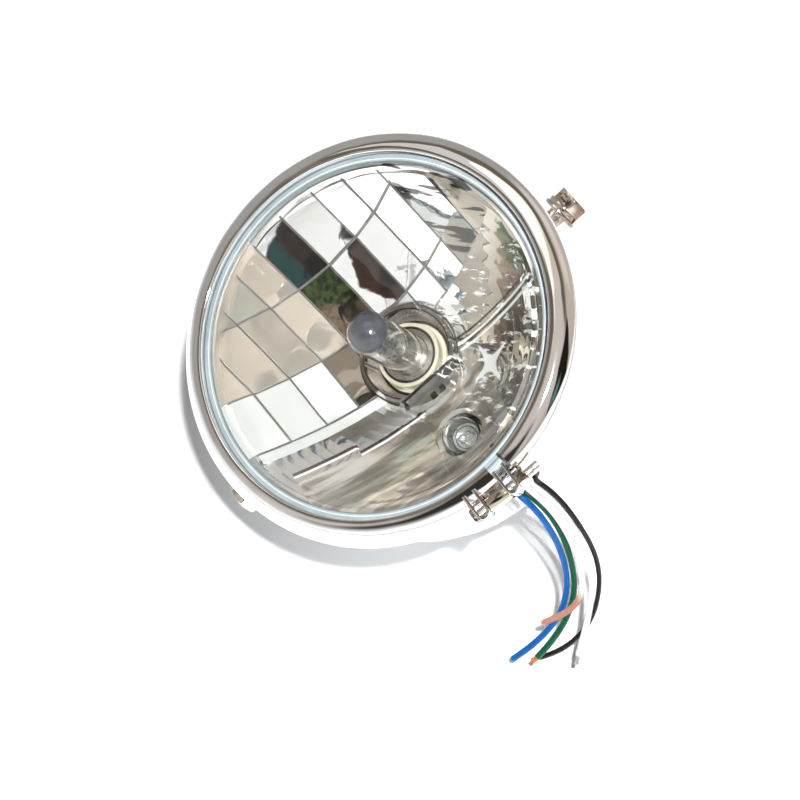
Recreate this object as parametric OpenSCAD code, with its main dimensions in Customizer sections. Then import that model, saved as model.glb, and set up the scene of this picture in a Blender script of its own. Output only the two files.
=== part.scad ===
// Round motorcycle headlight, mounted at its sides, with a split clamp ring round the lens.
// Millimetres. The origin is where the side bolt axis crosses the optical axis.
// The lens faces -Y, +Z is up, and +X is on the right of a viewer in front of the lens.

/* [Rim ring] */
// Outside diameter of the rim ring
rim_d = 165.4; // [163:0.2:169]
// Outer radius of the ring's half-round section
rim_section_r = 8.3; // [8:0.1:9]
// Thickness of the ring's sheet
rim_wall = 1.2; // [0.8:0.1:1.4]
// Distance from the side bolt axis forward to the ring's middle plane
rim_forward = 30.9; // [29:0.1:36]
// How far past its front the section is rolled in over the glass, in degrees
rim_lip_roll = 7; // [4:1:14]
// Width of the split at the bottom of the ring
rim_split = 8.2; // [7.8:0.1:10]

/* [Clamp] */
// Thickness of the folded clamp lugs
lug_t = 1.2; // [0.8:0.1:1.5]
// Width of each lug along the lamp's axis
lug_w = 7.2; // [6:0.1:8]
// Distance between the two legs of one folded lug, outside to outside
lug_fold = 5.7; // [5:0.1:8]
// Distance from the ring's middle plane forward to the clamp screw
lug_forward = 5.2; // [4.8:0.1:5.6]
// Distance from the ring's crest down to the clamp screw's axis
clamp_drop = 2.1; // [2:0.1:3.5]
// Diameter of the clamp screw
clamp_screw_d = 4; // [3.4:0.1:4.6]
// Length of the clamp screw under its head
clamp_screw_len = 30; // [26:0.5:36]
// Diameter of the clamp screw's round head
clamp_head_d = 8; // [7:0.1:8.2]
// Height of the clamp screw's round head
clamp_head_h = 3.1; // [2.4:0.1:4]
// Size across the flats of the clamp nut
clamp_nut_af = 7; // [6.4:0.1:7.4]
// Height of the clamp nut
clamp_nut_h = 4; // [3:0.1:5]
// Outside diameter of the spacer sleeve between the lugs
spacer_d = 6.6; // [5.6:0.1:7]

/* [Lens] */
// Width of the flat shoulder round the domed field
lens_shoulder_w = 8.2; // [7.4:0.1:9]
// Rise of the dome in front of the shoulder
lens_rise = 13; // [11:0.5:18]
// Thickness of the domed glass
lens_wall = 3; // [2:0.1:3.4]
// Thickness of the shoulder at the lens edge
lens_edge_t = 3.6; // [3:0.1:4]
// How far the lens edge reaches past the middle of the ring's section
lens_hold = 1.8; // [1.2:0.1:2.4]
// Chamfer on the front corner of the lens edge
lens_chamfer = 1.4; // [1:0.1:2]
// Thickness of the rubber gasket behind the lens
gasket_t = 1.6; // [1:0.1:2]
// Width of the rubber gasket behind the lens
gasket_w = 6.6; // [5:0.1:6.8]

/* [Reflector] */
// Width of the reflector's mounting flange
bowl_flange_w = 8.2; // [7.8:0.1:9]
// Focal length of the reflector
bowl_focal = 27; // [26:0.1:29]
// Wall of the reflector
bowl_wall = 2; // [1.6:0.1:2.6]
// Thickness of the reflector's mounting flange
bowl_flange_t = 1.4; // [1:0.1:1.8]
// Width of the facet columns beside the middle pair
facet_w = 13; // [11:0.1:14]
// Width of the two middle facet columns
facet_mid_w = 16; // [14:0.1:18]
// Height of the facet rows
facet_h = 25.5; // [22:0.1:27]
// Height of the lowest facet line on the left of the bulb
facet_left_z = -4; // [-8:0.5:0]
// Height of the lowest facet line on the right of the bulb
facet_right_z = 8; // [4:0.5:12]
// Height of each step between neighbouring facets
facet_step = 0.5; // [0.3:0.1:0.8]
// Width of the plain band between the facets and the mouth
facet_margin = 2.4; // [2:0.1:4]
// Height of each ledge in the lower half
ledge_step = 0.9; // [0.5:0.1:1.2]
// Distance between the slanting ledges on the right
ledge_pitch = 3.2; // [2.6:0.1:4]

/* [Reflector neck] */
// Radius of the bulb's opening in the reflector
bulb_bore_r = 18.4; // [17.4:0.1:19]
// Land on the neck's rear face, round the lugs of the bulb's flange
neck_land = 0.5; // [0.4:0.1:1.5]
// Distance from the bowl's vertex back to the bulb's seat
seat_back = 1.2; // [1:0.1:3]
// Wall of the raised collar round the bulb
collar_wall = 2; // [1.4:0.1:2.6]
// How far the collar stands forward of the bowl
collar_rise = 4.5; // [3:0.1:6]
// Distance from the optical axis down to the flat lip under the bulb
lip_drop = 14.6; // [14.2:0.1:15.4]
// Thickness of the flat lip
lip_t = 1.7; // [1.2:0.1:2.2]
// Radius of the crescent rim under the lip
crescent_r = 15; // [13:0.1:16]
// Width of the two square sockets under the lip
socket_w = 2.6; // [2:0.1:3]

/* [Main bulb] */
// Diameter of the bulb's seating flange
bulb_flange_d = 43; // [42:0.1:43.4]
// Thickness of the seating flange
bulb_flange_t = 1.2; // [1:0.1:1.6]
// How far the seating flange's three lugs stand out
base_lug = 2; // [1:0.1:2.4]
// Distance from the seat to the tip of the bulb
bulb_reach = 55; // [52:0.5:57]
// Diameter of the bulb's glass
bulb_glass_d = 17.2; // [16.4:0.1:17.8]
// Wall of the bulb's glass
bulb_glass_wall = 1; // [0.8:0.1:1.2]
// Length of the grey coat on the bulb's tip
coat_len = 14; // [12:0.5:17]
// Thickness of the grey coat
coat_t = 0.3; // [0.2:0.05:0.4]
// Distance from the bulb's tip back to the low beam filament
low_filament_back = 24; // [22:0.5:25]
// Distance from the bulb's tip back to the high beam filament
high_filament_back = 34; // [32:0.5:36]
// Length of each filament
filament_len = 5.5; // [4.5:0.1:6]
// Radius of the bulb's front cup
bulb_cup_r = 13.4; // [12.5:0.1:13.6]
// Depth of the bulb's front cup
bulb_cup_h = 7; // [6:0.1:8]
// Radius of the barrel behind the seat
barrel_r = 13; // [12.4:0.1:13.2]
// Length of the barrel behind the seat
barrel_len = 18; // [16:0.5:20]
// Distance of each contact blade from the axis
blade_out = 8.5; // [8:0.1:9.2]
// Width of the contact blades
blade_w = 8; // [7:0.1:8.4]
// Thickness of the contact blades
blade_t = 0.8; // [0.6:0.1:1]
// Length of the contact blades
blade_len = 13; // [11:0.5:15]
// Diameter of the spring clip's wire
clip_wire_d = 1.6; // [1.2:0.1:1.8]
// Wall of the rubber boot
boot_wall = 1.6; // [1.2:0.1:2.2]
// Length of the plug behind the bulb
plug_len = 16.6; // [16:0.2:20]

/* [Parking lamp] */
// Distance from the reflector's mouth up to the parking lamp
park_rise = 20; // [19:0.5:21]
// Radius of the parking lamp's opening in the reflector
park_hole_r = 9; // [8.9:0.1:9.6]
// Diameter of the parking lamp's globe
park_globe_d = 14.8; // [13.5:0.1:15.4]
// Distance from the bowl forward to the middle of the globe
park_globe_out = 1.5; // [0.5:0.1:3]
// Radius of the parking lamp's metal cap
park_cap_r = 6.6; // [6.2:0.1:6.7]
// Length of the parking lamp's metal cap
park_cap_len = 14; // [12:0.5:16]
// Wall of the holder's sleeve
holder_wall = 1.9; // [1.4:0.1:2]
// Thickness of the holder's flange
holder_flange_t = 1.6; // [1.2:0.1:2.2]

/* [Shell] */
// How far the shell's straight part lies inside the ring's outside
shell_inset = 7.4; // [7.2:0.1:7.8]
// Thickness of the shell's sheet
shell_wall = 1; // [0.8:0.1:1.4]
// Distance behind the bolt axis where the shell begins to round off
shell_bend = 18; // [14:1:22]
// Room behind the bulb's plug in the shell
shell_room = 30.6; // [28:0.2:42]
// Height of the raised bolt seats over the shell
seat_height = 4.1; // [3.4:0.1:5]
// Radius of the raised bolt seats
seat_r = 11; // [10:0.1:12]

/* [Side bolts] */
// Diameter of the side bolts
bolt_d = 8; // [6:0.1:8.4]
// Length of the side bolts under the head
bolt_len = 20; // [18:0.5:24]
// Size across the flats of the bolt heads and the inner nuts
bolt_af = 13; // [12.6:0.1:13.6]
// Height of the bolt heads
bolt_head_h = 5.3; // [4.6:0.1:6]
// Height of the inner nuts
bolt_nut_h = 6.5; // [5:0.1:7]
// Thickness of the bracket ear that the bolts are to hold
bracket_t = 4; // [2.5:0.1:5]
// Diameter of the flat washers
washer_d = 16; // [15:0.1:18]
// Thickness of the flat washers
washer_t = 1.6; // [1.2:0.1:2]
// Diameter of the spring washers
spring_d = 14.4; // [14:0.1:14.8]
// Thickness of the spring washers
spring_t = 2.1; // [1.6:0.1:2.4]
// Width of the slit in the spring washers
spring_slit = 1.2; // [0.8:0.1:2]

/* [Leads] */
// Distance from the bolt axis forward to the cable grommet
grommet_forward = 3; // [0:0.5:5]
// Angle from the shell's bottom round to the cable grommet, towards the right
grommet_turn = 4.2; // [0:0.1:8]
// Radius of the grommet's neck
grommet_neck_r = 5.9; // [5.7:0.1:6.4]
// Radius of the grommet's flanges
grommet_r = 7.7; // [7.2:0.1:8.4]
// How far the grommet stands out of the shell
grommet_out = 1.6; // [1.4:0.1:2.4]
// How far the grommet stands in from the shell's outer face
grommet_in = 3.4; // [3:0.1:4.4]
// Diameter of the coloured leads
lead_d = 2.6; // [2:0.1:2.7]
// Diameter of the black lead
black_lead_d = 2.1; // [1.8:0.1:2.4]

/* [Clearances] */
// Gap between the stacked rim, lens, reflector and shell
seat_gap = 0.2; // [0.15:0.05:0.25]
// Gap round a shank, a sleeve or a plug
running_gap = 0.2; // [0.1:0.05:0.3]
// Gap round a thread in its nut
thread_gap = 0.05; // [0.02:0.01:0.1]

/* [Hidden] */
$fn = 96;

// Rim section: its middle radius, middle plane and inner radius
rim_mid_r = rim_d / 2 - rim_section_r;
rim_y = -rim_forward;
rim_inner_r = rim_section_r - rim_wall;

// The stack inside the rim's section, from the glass back to the shell's rolled bead
lens_front_y = rim_y - rim_inner_r + seat_gap;
lens_back_y = lens_front_y + lens_edge_t;
lens_edge_r = rim_mid_r + lens_hold;
lens_field_r = lens_edge_r - lens_shoulder_w;
bowl_mouth_r = lens_edge_r - bowl_flange_w;
bowl_front_y = lens_back_y + gasket_t;
bead_front_y = bowl_front_y + bowl_flange_t + seat_gap;

// Lens dome, as a sphere through the edge of the clear field
dome_r = (lens_field_r * lens_field_r + lens_rise * lens_rise) / (2 * lens_rise);
dome_y = lens_front_y - lens_rise + dome_r;

// Reflector: a paraboloid from its mouth back to its vertex
vertex_y = bowl_front_y + bowl_mouth_r * bowl_mouth_r / (4 * bowl_focal);
bowl_rings = 18;
seat_y = vertex_y + seat_back;
collar_r = bulb_bore_r + collar_wall;
neck_r = bulb_flange_d / 2 + base_lug + neck_land;
function bowl_y(r) = vertex_y - r * r / (4 * bowl_focal);
function bowl_slope(r) = atan(r / (2 * bowl_focal));

// Facet columns outwards from the middle, the heights of the rows, and the field's radius
columns = [for (k = [0 : 5]) k == 0 ? 0 : facet_mid_w + (k - 1) * facet_w];
facet_field_r = bowl_mouth_r - facet_margin;
middle_row_z = facet_left_z + facet_h - 0.5;
top_row_z = middle_row_z + facet_h;

// Clamp screw axis and the lugs' faces
clamp_y = rim_y - lug_forward;
clamp_z = -(rim_d / 2 + clamp_drop);
lug_inner_x = rim_split / 2 + 0.3;
lug_outer_x = lug_inner_x + lug_fold;
lug_end_r = lug_fold / 2;
lug_end_z = clamp_z - 0.7;
lug_root_r = rim_mid_r + 0.3 * rim_section_r;

// Main bulb
tip_y = seat_y - bulb_reach;
glass_r = bulb_glass_d / 2;
glass_dome_y = tip_y + glass_r;
glass_foot_y = seat_y - 2;
low_filament_y = tip_y + low_filament_back;
high_filament_y = tip_y + high_filament_back;
barrel_back_y = seat_y + bulb_flange_t + barrel_len;
plug_front_y = barrel_back_y + running_gap;
plug_back_y = plug_front_y + plug_len;

// Parking lamp, along Y at its own height
park_drop = bowl_mouth_r - park_rise;
park_y = bowl_y(park_drop);
park_globe_r = park_globe_d / 2;
globe_y = park_y - park_globe_out;
park_cap_y = globe_y + park_globe_r - 0.4;
park_foot_y = park_cap_y + 3.4;
park_boss_y = park_cap_y + 10;
park_floor_y = park_cap_y + park_cap_len + 1.3;
holder_back_y = park_floor_y + holder_wall;

// Shell outline, and the rolled bead that the ring hooks over
shell_r = rim_d / 2 - shell_inset;
shell_back = plug_back_y + shell_room;
seat_out = shell_r + seat_height;
bead_a = shell_r - shell_wall - rim_mid_r;
bead_b = bead_front_y - rim_y;
bead_c = rim_inner_r - seat_gap;
bead_sum = bead_a + bead_b + bead_c;
bead_r = sqrt(bead_sum * bead_sum + bead_c * bead_c - bead_a * bead_a - bead_b * bead_b) - bead_sum;
bead_mid_r = shell_r - shell_wall + bead_r;
bead_y = bead_front_y + bead_r;
shell_dome = shell_back - shell_bend;
dome_rings = 24;
function shell_radius(y) = shell_r * sqrt(1 - pow(max(0, y - shell_bend) / shell_dome, 2));
function shell_lean(y) =
    atan(shell_r * shell_r * max(0, y - shell_bend) / (shell_dome * shell_dome * shell_radius(y)));

// Side bolt stack, outwards along X
washer_x = seat_out + bracket_t;
spring_x = washer_x + washer_t;
head_x = spring_x + spring_t;

// Grommet square to the shell's surface: u runs round the lamp, v back and w out of the shell
grommet_y = -grommet_forward;
grommet_lean = shell_lean(grommet_y);
grommet_down = [sin(grommet_turn), 0, -cos(grommet_turn)];
grommet_u = [cos(grommet_turn), 0, sin(grommet_turn)];
grommet_v = [0, cos(grommet_lean), 0] - sin(grommet_lean) * grommet_down;
grommet_w = [0, sin(grommet_lean), 0] + cos(grommet_lean) * grommet_down;
function grommet_point(uv, w) =
    [0, grommet_y, 0] + shell_radius(grommet_y) * grommet_down
    + uv[0] * grommet_u + uv[1] * grommet_v + w * grommet_w;

// Place of each lead in the grommet
blue_at = [-4.3, -0.4];
green_at = [-2.1, 1.6];
white_front_at = [0, -1.2];
white_back_at = [2.1, 1.6];
black_at = [4.5, -0.5];

// Routes of the free leads below the grommet, from their first bend to their bare ends
blue_route = [
    [2, -2.75, -82.75], [2.25, -0.25, -85], [2, 3.5, -88.5], [1, 6.5, -91.5], [0, 10, -94.5],
    [-1, 13, -97], [-2, 15.5, -99], [-3.5, 18.5, -101], [-5, 21, -103], [-6.5, 23.5, -105.5],
    [-8.5, 26, -108], [-11.5, 28, -110.5], [-15, 30, -113], [-18.5, 32, -115.5], [-23, 33, -116.5],
    [-27.5, 34, -117.5], [-32, 34.5, -118], [-36.5, 35, -118], [-41, 35, -118], [-45.5, 35, -117.5],
    [-50, 35, -117]
];
green_route = [
    [4.25, 0.25, -82.5], [4.75, 3, -84.5], [4.5, 6.5, -88], [4, 9.5, -91], [3, 12.5, -93.5],
    [2, 15.5, -96], [0.5, 18.5, -98], [-0.5, 21, -100.5], [-2.5, 23.5, -103], [-4, 26, -105],
    [-6, 28.5, -107.5], [-8.5, 31, -110.5], [-11.5, 33, -113], [-14.5, 34.5, -115],
    [-18.5, 36, -117.5], [-23, 37, -119], [-27.5, 38, -120], [-31.5, 38.5, -121], [-36.5, 39, -122],
    [-41, 39, -122], [-45.5, 39, -122.5]
];
white_front_route = [
    [6.25, -3.25, -82.25], [6.5, -1, -84.5], [7, 2.5, -88], [6.5, 5.5, -92], [5.5, 8.5, -95],
    [4.5, 11, -97.5], [4, 13.5, -100], [2.5, 16.5, -102.5], [1, 19, -105.5], [-0.5, 21, -108],
    [-2.5, 23.5, -111], [-5, 26, -114], [-8, 28, -117], [-12, 29, -119], [-16.5, 29.5, -119],
    [-21, 29.5, -118], [-25.5, 29, -116.5], [-29.5, 29, -115]
];
white_back_route = [
    [8.5, -0.5, -82.25], [9, 2, -84.5], [9.5, 5.5, -87.5], [9.5, 9, -91.5], [8.5, 12, -94.5],
    [7.5, 14.5, -97.5], [6.5, 17, -100.5], [5, 19.5, -103.5], [4, 21.5, -106], [3, 23.5, -109],
    [0.5, 25.5, -112.5], [-1.5, 27.5, -115], [-4.5, 29, -118], [-8, 30.5, -120.5],
    [-11, 31.5, -123], [-15, 33, -125.5], [-18.5, 33.5, -128], [-22.5, 34.5, -130.5],
    [-26.5, 35, -133], [-30, 36, -135.5]
];
black_route = [
    [11, -2.5, -82.25], [11.5, 0, -84.5], [12, 3, -88], [11.5, 6, -91.5], [11, 9, -95],
    [10, 12, -97.5], [9.5, 15, -100], [8.5, 18, -102.5], [7.5, 21, -105], [6.5, 24, -107],
    [5, 27, -109.5], [3, 30, -112.5], [0.5, 32.5, -115], [-2.5, 35, -117.5], [-6, 37, -120],
    [-10, 39, -122.5], [-13.5, 40.5, -124], [-18.5, 42, -125.5], [-23, 42.5, -126],
    [-27.5, 43, -126], [-32.5, 43.5, -125.5], [-36.5, 43.5, -124], [-40.5, 43, -122.5],
    [-45, 43, -120.5]
];

// A child's own axis goes from Z to Y
module along_y() {
    rotate([-90, 0, 0])
        children();
}

// A child's own axis goes from Z to X
module along_x() {
    rotate([0, 90, 0])
        children();
}

// Flat outline in X and Z, made solid from y_low to y_high
module upright(y_low, y_high) {
    translate([0, y_high, 0])
        rotate([90, 0, 0])
            linear_extrude(y_high - y_low)
                children();
}

// The child on the right of the lamp, and its mirror image on the left
module both_sides() {
    children();
    mirror([1, 0, 0])
        children();
}

// Ring of a given bore, radius and height, standing on z = 0
module tube(bore_r, outer_r, h) {
    difference() {
        cylinder(r = outer_r, h = h);
        translate([0, 0, -1])
            cylinder(r = bore_r, h = h + 2);
    }
}

// Hexagonal prism with a chamfered top, standing on z = 0
module hex_prism(flats, h) {
    chamfer = 0.08 * flats;
    intersection() {
        cylinder(d = flats / cos(30), h = h, $fn = 6);
        rotate_extrude()
            polygon([
                [0, -1],
                [flats, -1],
                [flats, h - chamfer - flats / 4],
                [flats / 2, h],
                [0, h]
            ]);
    }
}

// Routes: the direction at each point, and a side direction carried along without a twist
function unit(v) = v / norm(v);
function along(route, i) =
    let(last = len(route) - 1)
    i == 0 ? unit(route[1] - route[0])
    : i == last ? unit(route[last] - route[last - 1])
    : unit(unit(route[i + 1] - route[i]) + unit(route[i] - route[i - 1]));
function carried(route, i) =
    let(
        t = along(route, i),
        before = i == 0 ? [1, 0, 0] : carried(route, i - 1)
    )
    unit(before - (before * t) * t);

// Round lead along a route, with eight sides
module swept_tube(route, d) {
    sides = 8;
    last = len(route) - 1;
    points = [
        for (i = [0 : last])
            let(t = along(route, i), a = carried(route, i), b = cross(t, a))
            for (k = [0 : sides - 1])
                route[i] + d / 2 * (cos(360 * k / sides) * a + sin(360 * k / sides) * b)
    ];
    walls = [
        for (i = [0 : last - 1])
            for (k = [0 : sides - 1])
                let(next = (k + 1) % sides)
                [i * sides + k, (i + 1) * sides + k, (i + 1) * sides + next, i * sides + next]
    ];
    first_end = [for (k = [0 : sides - 1]) k];
    last_end = [for (k = [sides - 1 : -1 : 0]) last * sides + k];
    polyhedron(points, concat([first_end], walls, [last_end]), convexity = 6);
}

// Free lead: straight out of the grommet, then along its own route
module free_lead(uv, route, d) {
    swept_tube(concat([grommet_point(uv, grommet_out), grommet_point(uv, grommet_out + 3)], route), d);
}

// Arched section of the rim from its rolled lip to its rear edge
module rim_section() {
    rear_angle = acos((shell_r + 1.5 * seat_gap - rim_mid_r) / rim_inner_r);
    far = 5 * rim_section_r;
    translate([rim_mid_r, rim_y])
        difference() {
            circle(r = rim_section_r);
            circle(r = rim_inner_r);
            // Open towards the lamp, between the lip and the rear edge
            polygon([
                [0, 0],
                [far * cos(-90 - rim_lip_roll), far * sin(-90 - rim_lip_roll)],
                [-far, -far],
                [-far, far],
                [far * cos(rear_angle), far * sin(rear_angle)]
            ]);
        }
}

// One folded lug on the right of the split: two legs joined by a round bend
module lug() {
    difference() {
        upright(clamp_y - lug_w / 2, clamp_y + lug_w / 2)
            translate([(lug_inner_x + lug_outer_x) / 2, lug_end_z])
                difference() {
                    union() {
                        circle(r = lug_end_r);
                        translate([-lug_end_r, 0])
                            square([lug_fold, 2 * rim_section_r]);
                    }
                    circle(r = lug_end_r - lug_t);
                    translate([lug_t - lug_end_r, 0])
                        square([lug_fold - 2 * lug_t, 3 * rim_section_r]);
                }
        // The legs stop inside the rim's sheet
        along_y()
            rotate_extrude() {
                translate([rim_mid_r, rim_y])
                    circle(r = rim_section_r - rim_wall / 2);
                translate([0, rim_y - 2 * rim_section_r])
                    square([lug_root_r, 4 * rim_section_r]);
            }
        translate([0, clamp_y, clamp_z])
            along_x()
                cylinder(d = clamp_screw_d + 2 * running_gap, h = 2 * lug_outer_x);
    }
}

module rim_ring() {
    color("gainsboro") {
        difference() {
            along_y()
                rotate_extrude()
                    rim_section();
            translate([-rim_split / 2, rim_y - 2 * rim_section_r, -rim_d])
                cube([rim_split, 4 * rim_section_r, rim_d]);
        }
        both_sides()
            lug();
    }
}

module clamp_screw() {
    slot = 0.12 * clamp_head_d;
    color("silver")
        translate([0, clamp_y, clamp_z])
            mirror([1, 0, 0])
                along_x() {
                    translate([0, 0, lug_outer_x - clamp_screw_len])
                        cylinder(d = clamp_screw_d, h = clamp_screw_len + 0.5);
                    // Round head with a cross slot
                    difference() {
                        intersection() {
                            translate([0, 0, lug_outer_x])
                                cylinder(d = clamp_head_d, h = clamp_head_h);
                            translate([0, 0, lug_outer_x + clamp_head_h - 0.7 * clamp_head_d])
                                sphere(r = 0.7 * clamp_head_d);
                        }
                        for (turn = [0, 90])
                            rotate([0, 0, turn])
                                translate([-2.2 * slot, -slot / 2, lug_outer_x + clamp_head_h / 2])
                                    cube([4.4 * slot, slot, clamp_head_h]);
                    }
                }
}

module clamp_nut() {
    color("silver")
        translate([lug_outer_x, clamp_y, clamp_z])
            along_x()
                difference() {
                    hex_prism(clamp_nut_af, clamp_nut_h);
                    translate([0, 0, -1])
                        cylinder(d = clamp_screw_d + 2 * thread_gap, h = clamp_nut_h + 2);
                }
}

module clamp_spacer() {
    length = 2 * lug_inner_x - seat_gap;
    color("tan")
        translate([-length / 2, clamp_y, clamp_z])
            along_x()
                tube(clamp_screw_d / 2 + running_gap, spacer_d / 2, length);
}

module lens() {
    color("lightcyan")
        along_y()
            difference() {
                union() {
                    rotate_extrude()
                        polygon([
                            [0, lens_front_y],
                            [lens_edge_r - lens_chamfer, lens_front_y],
                            [lens_edge_r, lens_front_y + lens_chamfer],
                            [lens_edge_r, lens_back_y],
                            [0, lens_back_y]
                        ]);
                    intersection() {
                        translate([0, 0, dome_y])
                            sphere(r = dome_r);
                        translate([0, 0, lens_front_y - lens_rise - 1])
                            cylinder(r = lens_field_r + 1, h = lens_rise + 2);
                    }
                }
                translate([0, 0, dome_y])
                    sphere(r = dome_r - lens_wall);
            }
}

module lens_gasket() {
    color("slategray")
        along_y()
            translate([0, 0, lens_back_y])
                tube(lens_edge_r - gasket_w, lens_edge_r, gasket_t);
}

// Bowl with its flange
module bowl() {
    flange_back_y = bowl_front_y + bowl_flange_t;
    front = [
        for (i = [0 : bowl_rings])
            let(r = bowl_mouth_r * i / bowl_rings)
            [r, bowl_y(r)]
    ];
    flange = [
        [lens_edge_r, bowl_front_y],
        [lens_edge_r, flange_back_y],
        [bowl_mouth_r + bowl_wall / 2, flange_back_y]
    ];
    back = [
        for (i = [bowl_rings - 1 : -1 : 0])
            let(r = bowl_mouth_r * i / bowl_rings, lean = bowl_slope(r))
            [r + bowl_wall * sin(lean), bowl_y(r) + bowl_wall * cos(lean)]
    ];
    along_y()
        rotate_extrude()
            polygon(concat(front, flange, back));
}

// Layer on the bowl's surface, raised by lift, and rooted in the bowl's wall
module bowl_layer(lift) {
    root = bowl_wall / 2;
    front = [
        for (i = [0 : bowl_rings - 1])
            let(r = bowl_mouth_r * i / bowl_rings)
            [r, max(bowl_y(r) - lift, bowl_front_y + 0.3)]
    ];
    back = [
        for (i = [bowl_rings - 1 : -1 : 0])
            let(r = bowl_mouth_r * i / bowl_rings)
            [r, bowl_y(r) + root]
    ];
    along_y()
        rotate_extrude()
            polygon(concat(front, back));
}

// One flat facet, on one side of the middle, from a to b along X and between two heights
module facet(side, a, b, z_low, z_high, raised) {
    // Middle of the facet's share of the round field, where its plane leans as the bowl does
    b_in = min(b, sqrt(facet_field_r * facet_field_r - pow(max(0, z_low), 2)));
    z_in = min(z_high, sqrt(facet_field_r * facet_field_r - a * a));
    mid_x = side * (a + b_in) / 2;
    mid_z = (z_low + z_in) / 2;
    chord = (pow(b_in - a, 2) + pow(z_in - z_low, 2)) / (16 * bowl_focal);
    lean_x = -mid_x / (2 * bowl_focal);
    lean_z = -mid_z / (2 * bowl_focal);
    steep = sqrt(1 + lean_x * lean_x + lean_z * lean_z);
    reach = 2 * bowl_mouth_r;
    difference() {
        translate([min(side * a, side * b), bowl_front_y, z_low])
            cube([b - a, seat_y - bowl_front_y, z_high - z_low]);
        translate([mid_x, bowl_y(norm([mid_x, mid_z])) - chord - raised, mid_z])
            rotate([-asin(lean_z / steep), 0, atan(lean_x)])
                translate([-reach / 2, -reach, -reach / 2])
                    cube(reach);
    }
}

// Row of facets on one side of the middle, outwards from column number first
module facet_row(side, first, z_low, z_high, row) {
    for (k = [first : len(columns) - 2]) {
        odd = (side > 0 ? k : k + 1) % 2;
        if (norm([columns[k], max(0, z_low)]) < facet_field_r)
            facet(side, columns[k], columns[k + 1], z_low, z_high, facet_step * (odd + 1 - row / 2));
    }
}

// Grid of facets above the bulb, and on its left and right
module facets() {
    for (side = [-1, 1]) {
        facet_row(side, 0, top_row_z, bowl_mouth_r, 0);
        facet_row(side, 0, middle_row_z, top_row_z, 1);
        facet_row(side, 1, side < 0 ? facet_left_z : facet_right_z, middle_row_z, 2);
    }
}

// Space that the facets may fill, from the bowl's mouth plane into its wall
module facet_space() {
    back = [
        for (i = [bowl_rings : -1 : 0])
            let(r = facet_field_r * i / bowl_rings)
            [r, bowl_y(r) + 0.6 * bowl_wall]
    ];
    along_y()
        rotate_extrude()
            polygon(concat([[0, bowl_front_y + 0.2], [facet_field_r, bowl_front_y + 0.2]], back));
}

// Raised fields of the lower half: one with a stepped edge, three with slanting edges
module ledges() {
    far = bowl_mouth_r + 2;
    intersection() {
        bowl_layer(1.4 * ledge_step);
        upright(bowl_front_y, seat_y)
            polygon([
                [-far, -13], [-57, -17], [-56, -18.6], [-38.5, -18.6], [-37, -23],
                [-19.5, -22.4], [-18, -24], [-11, -24], [-11, -far], [-far, -far]
            ]);
    }
    for (k = [1 : 3])
        intersection() {
            bowl_layer(ledge_step * k);
            upright(bowl_front_y, seat_y)
                polygon([
                    [17, -9 - k * ledge_pitch],
                    [far, -20 - k * ledge_pitch],
                    [far, -far],
                    [13 + k, -far],
                    [13 + k, -28 - k * ledge_pitch]
                ]);
        }
}

// Raised collar round the bulb, cut off flat by the lip, with a crescent rim under it
module collar() {
    collar_y = bowl_y(collar_r) - collar_rise;
    lip_z = -lip_drop - lip_t;
    intersection() {
        along_y()
            translate([0, 0, collar_y])
                cylinder(r = collar_r, h = seat_y - collar_y);
        translate([-neck_r, bowl_front_y, lip_z])
            cube(2 * neck_r);
    }
    intersection() {
        bowl_layer(1.6);
        translate([0, bowl_front_y, -lip_drop])
            along_y()
                tube(crescent_r - lip_t, crescent_r, seat_y - bowl_front_y);
        translate([-neck_r, bowl_front_y, lip_z - 2 * neck_r])
            cube(2 * neck_r);
    }
}

module reflector() {
    color("whitesmoke")
        difference() {
            union() {
                bowl();
                intersection() {
                    facets();
                    facet_space();
                }
                ledges();
                collar();
                along_y()
                    translate([0, 0, bowl_y(neck_r) + 1])
                        cylinder(r = neck_r, h = seat_y - bowl_y(neck_r) - 1);
                translate([0, park_y, -park_drop])
                    along_y()
                        cylinder(r = park_hole_r + 2, h = park_boss_y - park_y);
            }
            // Opening of the bulb, flat at the lip
            intersection() {
                translate([0, bowl_front_y, 0])
                    along_y()
                        cylinder(r = bulb_bore_r, h = 2 * bowl_mouth_r);
                translate([-neck_r, bowl_front_y - 1, -lip_drop])
                    cube([2 * neck_r, 3 * bowl_mouth_r, 2 * neck_r]);
            }
            // Way of the parking lamp
            translate([0, bowl_front_y, -park_drop])
                along_y()
                    cylinder(r = park_hole_r, h = 2 * bowl_mouth_r);
            // Square sockets under the lip
            for (side = [-1, 1])
                translate([side * 2.1 - socket_w / 2, bowl_y(collar_r) - socket_w, -collar_r - 1.2])
                    cube([socket_w, 2 * socket_w, socket_w]);
        }
}

module bulb_glass() {
    color("aliceblue")
        along_y()
            difference() {
                union() {
                    translate([0, 0, glass_dome_y])
                        sphere(r = glass_r);
                    translate([0, 0, glass_dome_y])
                        cylinder(r = glass_r, h = glass_foot_y - glass_dome_y);
                }
                translate([0, 0, glass_dome_y])
                    sphere(r = glass_r - bulb_glass_wall);
                translate([0, 0, glass_dome_y])
                    cylinder(r = glass_r - bulb_glass_wall, h = bulb_reach);
            }
}

module bulb_tip_coat() {
    inner_r = glass_r + thread_gap;
    color("gray")
        along_y()
            difference() {
                union() {
                    translate([0, 0, glass_dome_y])
                        sphere(r = inner_r + coat_t);
                    translate([0, 0, glass_dome_y])
                        cylinder(r = inner_r + coat_t, h = coat_len - glass_r);
                }
                translate([0, 0, glass_dome_y])
                    sphere(r = inner_r);
                translate([0, 0, glass_dome_y])
                    cylinder(r = inner_r, h = coat_len);
            }
}

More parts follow.
